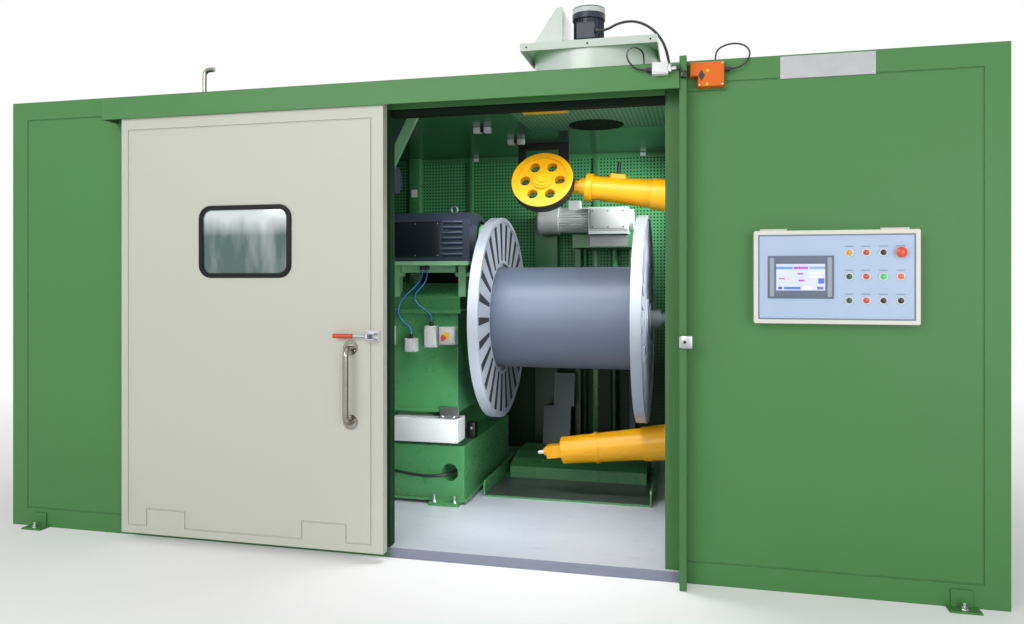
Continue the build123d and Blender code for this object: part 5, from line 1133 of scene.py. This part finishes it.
def addLimitTrim(s):
    bm = bmesh.new()
    addBlock(bm, *span(*s["lid"]), s["lidEdge"])
    for x, z in s["screws"]:
        addScrew(bm, at(x, s["screwDepth"], z), frontward, s["screw"], mat=1)
    finishPiece("limitLid", bm, [finishes["switch_white"], screwSteel])

    bm = bmesh.new()
    addBlock(bm, *span(*s["crank"]), s["crankEdge"])
    addLathe(bm, at(*s["roller"]), frontward, turned(s["rollerProfile"], s["rollerRadius"]), mat=1)
    finishPiece("limitRoller", bm, [screwSteel, blackPlastic])


addLimitTrim(limitSettings)


# Latch keeper: a plate with a black disc in place of its hole, painted shade for the hole's dark inside

keeperSettings = dict(
    place=(3.737, 3.785, -0.128, -0.121, 1.090, 1.146), edge=0.002,
    hole=(3.752, -0.128, 1.118), holeProfile=((0, 0.007), (0.001, 0.007), (0.001, 0)),
)


def addKeeper(s):
    bm = bmesh.new()
    addBlock(bm, *span(*s["place"]), s["edge"])
    addLathe(bm, at(*s["hole"]), frontward, s["holeProfile"], mat=1)
    finishPiece("keeperPlate", bm, [finishes["bright_steel"], blackPlastic])


addKeeper(keeperSettings)


# Screws of the latch and the handle

doorSettings = dict(
    latchFace=-0.100, latchScrews=(2.222, 2.282), latchRows=(1.095, 1.141), latchScrew=0.0045,
    handle=2.132, rosettes=(0.690, 1.058), rosetteFace=-0.103, rosetteRing=0.028,
    rosetteTurns=(90, 210, 330), rosetteScrew=0.0035,
)


def addDoorScrews(s):
    bm = bmesh.new()
    for x in s["latchScrews"]:
        for z in s["latchRows"]:
            addScrew(bm, at(x, s["latchFace"], z), frontward, s["latchScrew"])
    for z in s["rosettes"]:
        for turn in map(math.radians, s["rosetteTurns"]):
            spot = Vector((math.cos(turn), 0, math.sin(turn))) * s["rosetteRing"]
            addScrew(bm, at(s["handle"], s["rosetteFace"], z) + spot, frontward, s["rosetteScrew"])
    finishPiece("doorScrews", bm, [screwSteel], body="door")


addDoorScrews(doorSettings)


# Bolts on the feet

footSettings = dict(
    bolt=0.016, inset=0.0625, toe=0.030, plate=0.008, studBase=0.020, studTop=0.038, studSides=14,
)


def addFootBolts(s):
    bm = bmesh.new()
    low, high = corners("anchor_feet")
    for x in (low.x + s["inset"], high.x - s["inset"]):
        for y in (low.y + s["toe"], high.y - s["toe"]):
            addHexBolt(bm, (x, y, s["plate"]), (0, 0, 1), s["bolt"])
            addRod(bm, (x, y, s["studBase"]), (x, y, s["studTop"]), s["bolt"] / 2, s["studSides"])
    finishPiece("footBolts", bm, [screwSteel])


addFootBolts(footSettings)


# Raised panels on the walls that face away from the door, framed as the front walls are

wallSettings = dict(
    length=5.090, height=2.400, depth=2.350, proud=0.004, edge=0.002,
    border=0.070, foot=0.120, gap=0.014, bays=4,
    screw=0.006, screwInset=0.03, screwPitch=0.52,
)


def addWallPanels(s):
    bm = bmesh.new()
    low, high, i = s["foot"], s["height"] - s["border"], s["screwInset"]
    back = s["depth"] + s["proud"]
    run = (s["length"] - 2 * s["border"] + s["gap"]) / s["bays"]
    rows = [low + i + index * s["screwPitch"] for index in range(int((high - low) / s["screwPitch"]) + 1)]
    for index in range(s["bays"]):
        x0 = s["border"] + index * run
        x1 = x0 + run - s["gap"]
        addBlock(bm, *span(x0, x1, s["depth"], back, low, high), s["edge"])
        for x in (x0 + i, x1 - i):
            for z in rows:
                addScrew(bm, at(x, back, z), (0, 1, 0), s["screw"], mat=1)
    y0, y1 = s["border"], s["depth"] - s["border"]
    for wall, outward in ((0, -1), (s["length"], 1)):
        face = wall + outward * s["proud"]
        addBlock(bm, *span(min(wall, face), max(wall, face), y0, y1, low, high), s["edge"])
        for y in (y0 + i, y1 - i):
            for z in rows:
                addScrew(bm, at(face, y, z), (outward, 0, 0), s["screw"], mat=1)
    finishPiece("wallPanels", bm, [finishes["cabin_green"], screwSteel])


addWallPanels(wallSettings)


# Roof fan: pale cap on the motor, screws round the plate

fanSettings = dict(
    motor=(3.145, 1.163, 3.035), capRadius=0.1035, capSkirt=0.003, capSteps=48,
    capProfile=((0, 1), (0.028, 1), (0.036, 0.93), (0.038, 0.8), (0.038, 0)),
    plateFront=0.768, screwPlaces=(2.833, 3.190, 3.547), screwLevel=2.748, screw=0.006,
)


def addFanTrim(s):
    r = s["capRadius"]
    bm = bmesh.new()
    profile = [(0, r - s["capSkirt"]), *turned(s["capProfile"], r)]
    addLathe(bm, at(*s["motor"]), (0, 0, 1), profile, s["capSteps"])
    finishPiece("fanMotorCap", bm, [capPlastic])
    bm = bmesh.new()
    for x in s["screwPlaces"]:
        addScrew(bm, at(x, s["plateFront"], s["screwLevel"]), frontward, s["screw"])
    finishPiece("fanPlateScrews", bm, [blackPlastic])


addFanTrim(fanSettings)
print("fittings done")


# Studio

lampSettings = (
    # name, place, target, size, watts and the spread of the beam in degrees
    ("keyLamp", (0.5, -6.4, 4.0), (2.5, 1.1, 1.2), (5.0, 3.5), 240, 180),
    ("fillLamp", (6.8, -5.6, 1.8), (2.9, 0.6, 1.0), (3.0, 3.0), 100, 180),
    ("topLamp", (2.5, 1.7, 6.5), (2.5, 1.2, 1.0), (5.0, 4.0), 120, 180),
    ("backLamp", (2.5, 8.4, 4.2), (2.5, 1.4, 1.2), (5.0, 3.5), 200, 180),
    ("doorwayLamp", (3.00, 0.13, 0.62), (2.15, 0.85, 0.45), (0.12, 0.8), 1.9, 75),
    ("bayLamp", (3.0, 0.48, 2.26), (2.90, 1.25, 1.20), (1.2, 0.3), 4.6, 110),
    ("floorLamp", (3.0, 0.14, 2.20), (3.0, 0.35, 0), (1.2, 0.12), 9, 80),
    ("rearLamp", (3.9, 1.75, 2.10), (3.0, 2.05, 1.85), (0.3, 0.3), 5, 90),
    ("sideLamp", (4.25, 0.55, 1.75), (3.1, 1.10, 1.35), (0.8, 0.8), 7, 60),
)


def addLamp(name, place, target, size, watts, spread):
    data = bpy.data.lights.new(name, "AREA")
    data.shape = "RECTANGLE"
    data.size, data.size_y = size
    data.energy = watts
    data.spread = math.radians(spread)
    lamp = bpy.data.objects.new(name, data)
    lamp.location = at(*place)
    lamp.rotation_euler = (at(*target) - at(*place)).to_track_quat("-Z", "Y").to_euler()
    lamp.visible_camera = False
    bpy.context.collection.objects.link(lamp)


studioSettings = dict(floor=30, nearGlow=0.25, fadeStart=3.2, fadeEnd=7.5, ambient=0.38)


def seenDirectly(owner):
    # 1 where the camera or a reflection looks, 0 for the light that falls on the part
    path = addNode(owner, "LightPath")
    rays = {0: path.outputs["Is Camera Ray"], 1: path.outputs["Is Glossy Ray"]}
    return addNode(owner, "Math", rays, operation="MAXIMUM").outputs[0]


def addStudio(s):
    bm = bmesh.new()
    bmesh.ops.create_grid(bm, x_segments=1, y_segments=1, size=s["floor"])
    mesh = bpy.data.meshes.new("studioFloor")
    bm.to_mesh(mesh)
    bm.free()
    floor = bpy.data.objects.new("studioFloor", mesh)
    bpy.context.collection.objects.link(floor)
    # matt white sheet, which runs out into the white background
    mat = newMaterial("studioFloor", Roughness=0.75, Base_Color=colour("#F2F2F3"))
    spot = addNode(mat, "TexCoord").outputs["Object"]
    far = addNode(mat, "VectorMath", {0: spot}, operation="LENGTH")
    fade = addNode(mat, "MapRange", {
        "Value": far.outputs["Value"], "From Min": s["fadeStart"], "From Max": s["fadeEnd"],
        "To Min": s["nearGlow"], "To Max": 1})
    share = addNode(mat, "Math", {0: fade.outputs[0], 1: seenDirectly(mat)}, operation="MULTIPLY")
    white = addNode(mat, "Emission", {"Strength": 1.0})
    both = addNode(mat, "MixShader", {0: share.outputs[0], 1: shaderOf(mat).outputs[0], 2: white.outputs[0]})
    mat.node_tree.links.new(both.outputs[0], mat.node_tree.nodes["Material Output"].inputs["Surface"])
    mesh.materials.append(mat)
    world = bpy.data.worlds.new("studio")
    bpy.context.scene.world = world
    world.use_nodes = True
    back = world.node_tree.nodes["Background"]
    back.inputs["Color"].default_value = (1, 1, 1, 1)
    level = addNode(world, "MapRange", {"Value": seenDirectly(world), "To Min": s["ambient"], "To Max": 1.0})
    world.node_tree.links.new(level.outputs[0], back.inputs["Strength"])
    for lamp in lampSettings:
        addLamp(*lamp)
    bpy.context.scene.view_settings.view_transform = "Standard"


addStudio(studioSettings)
print("studio lit")
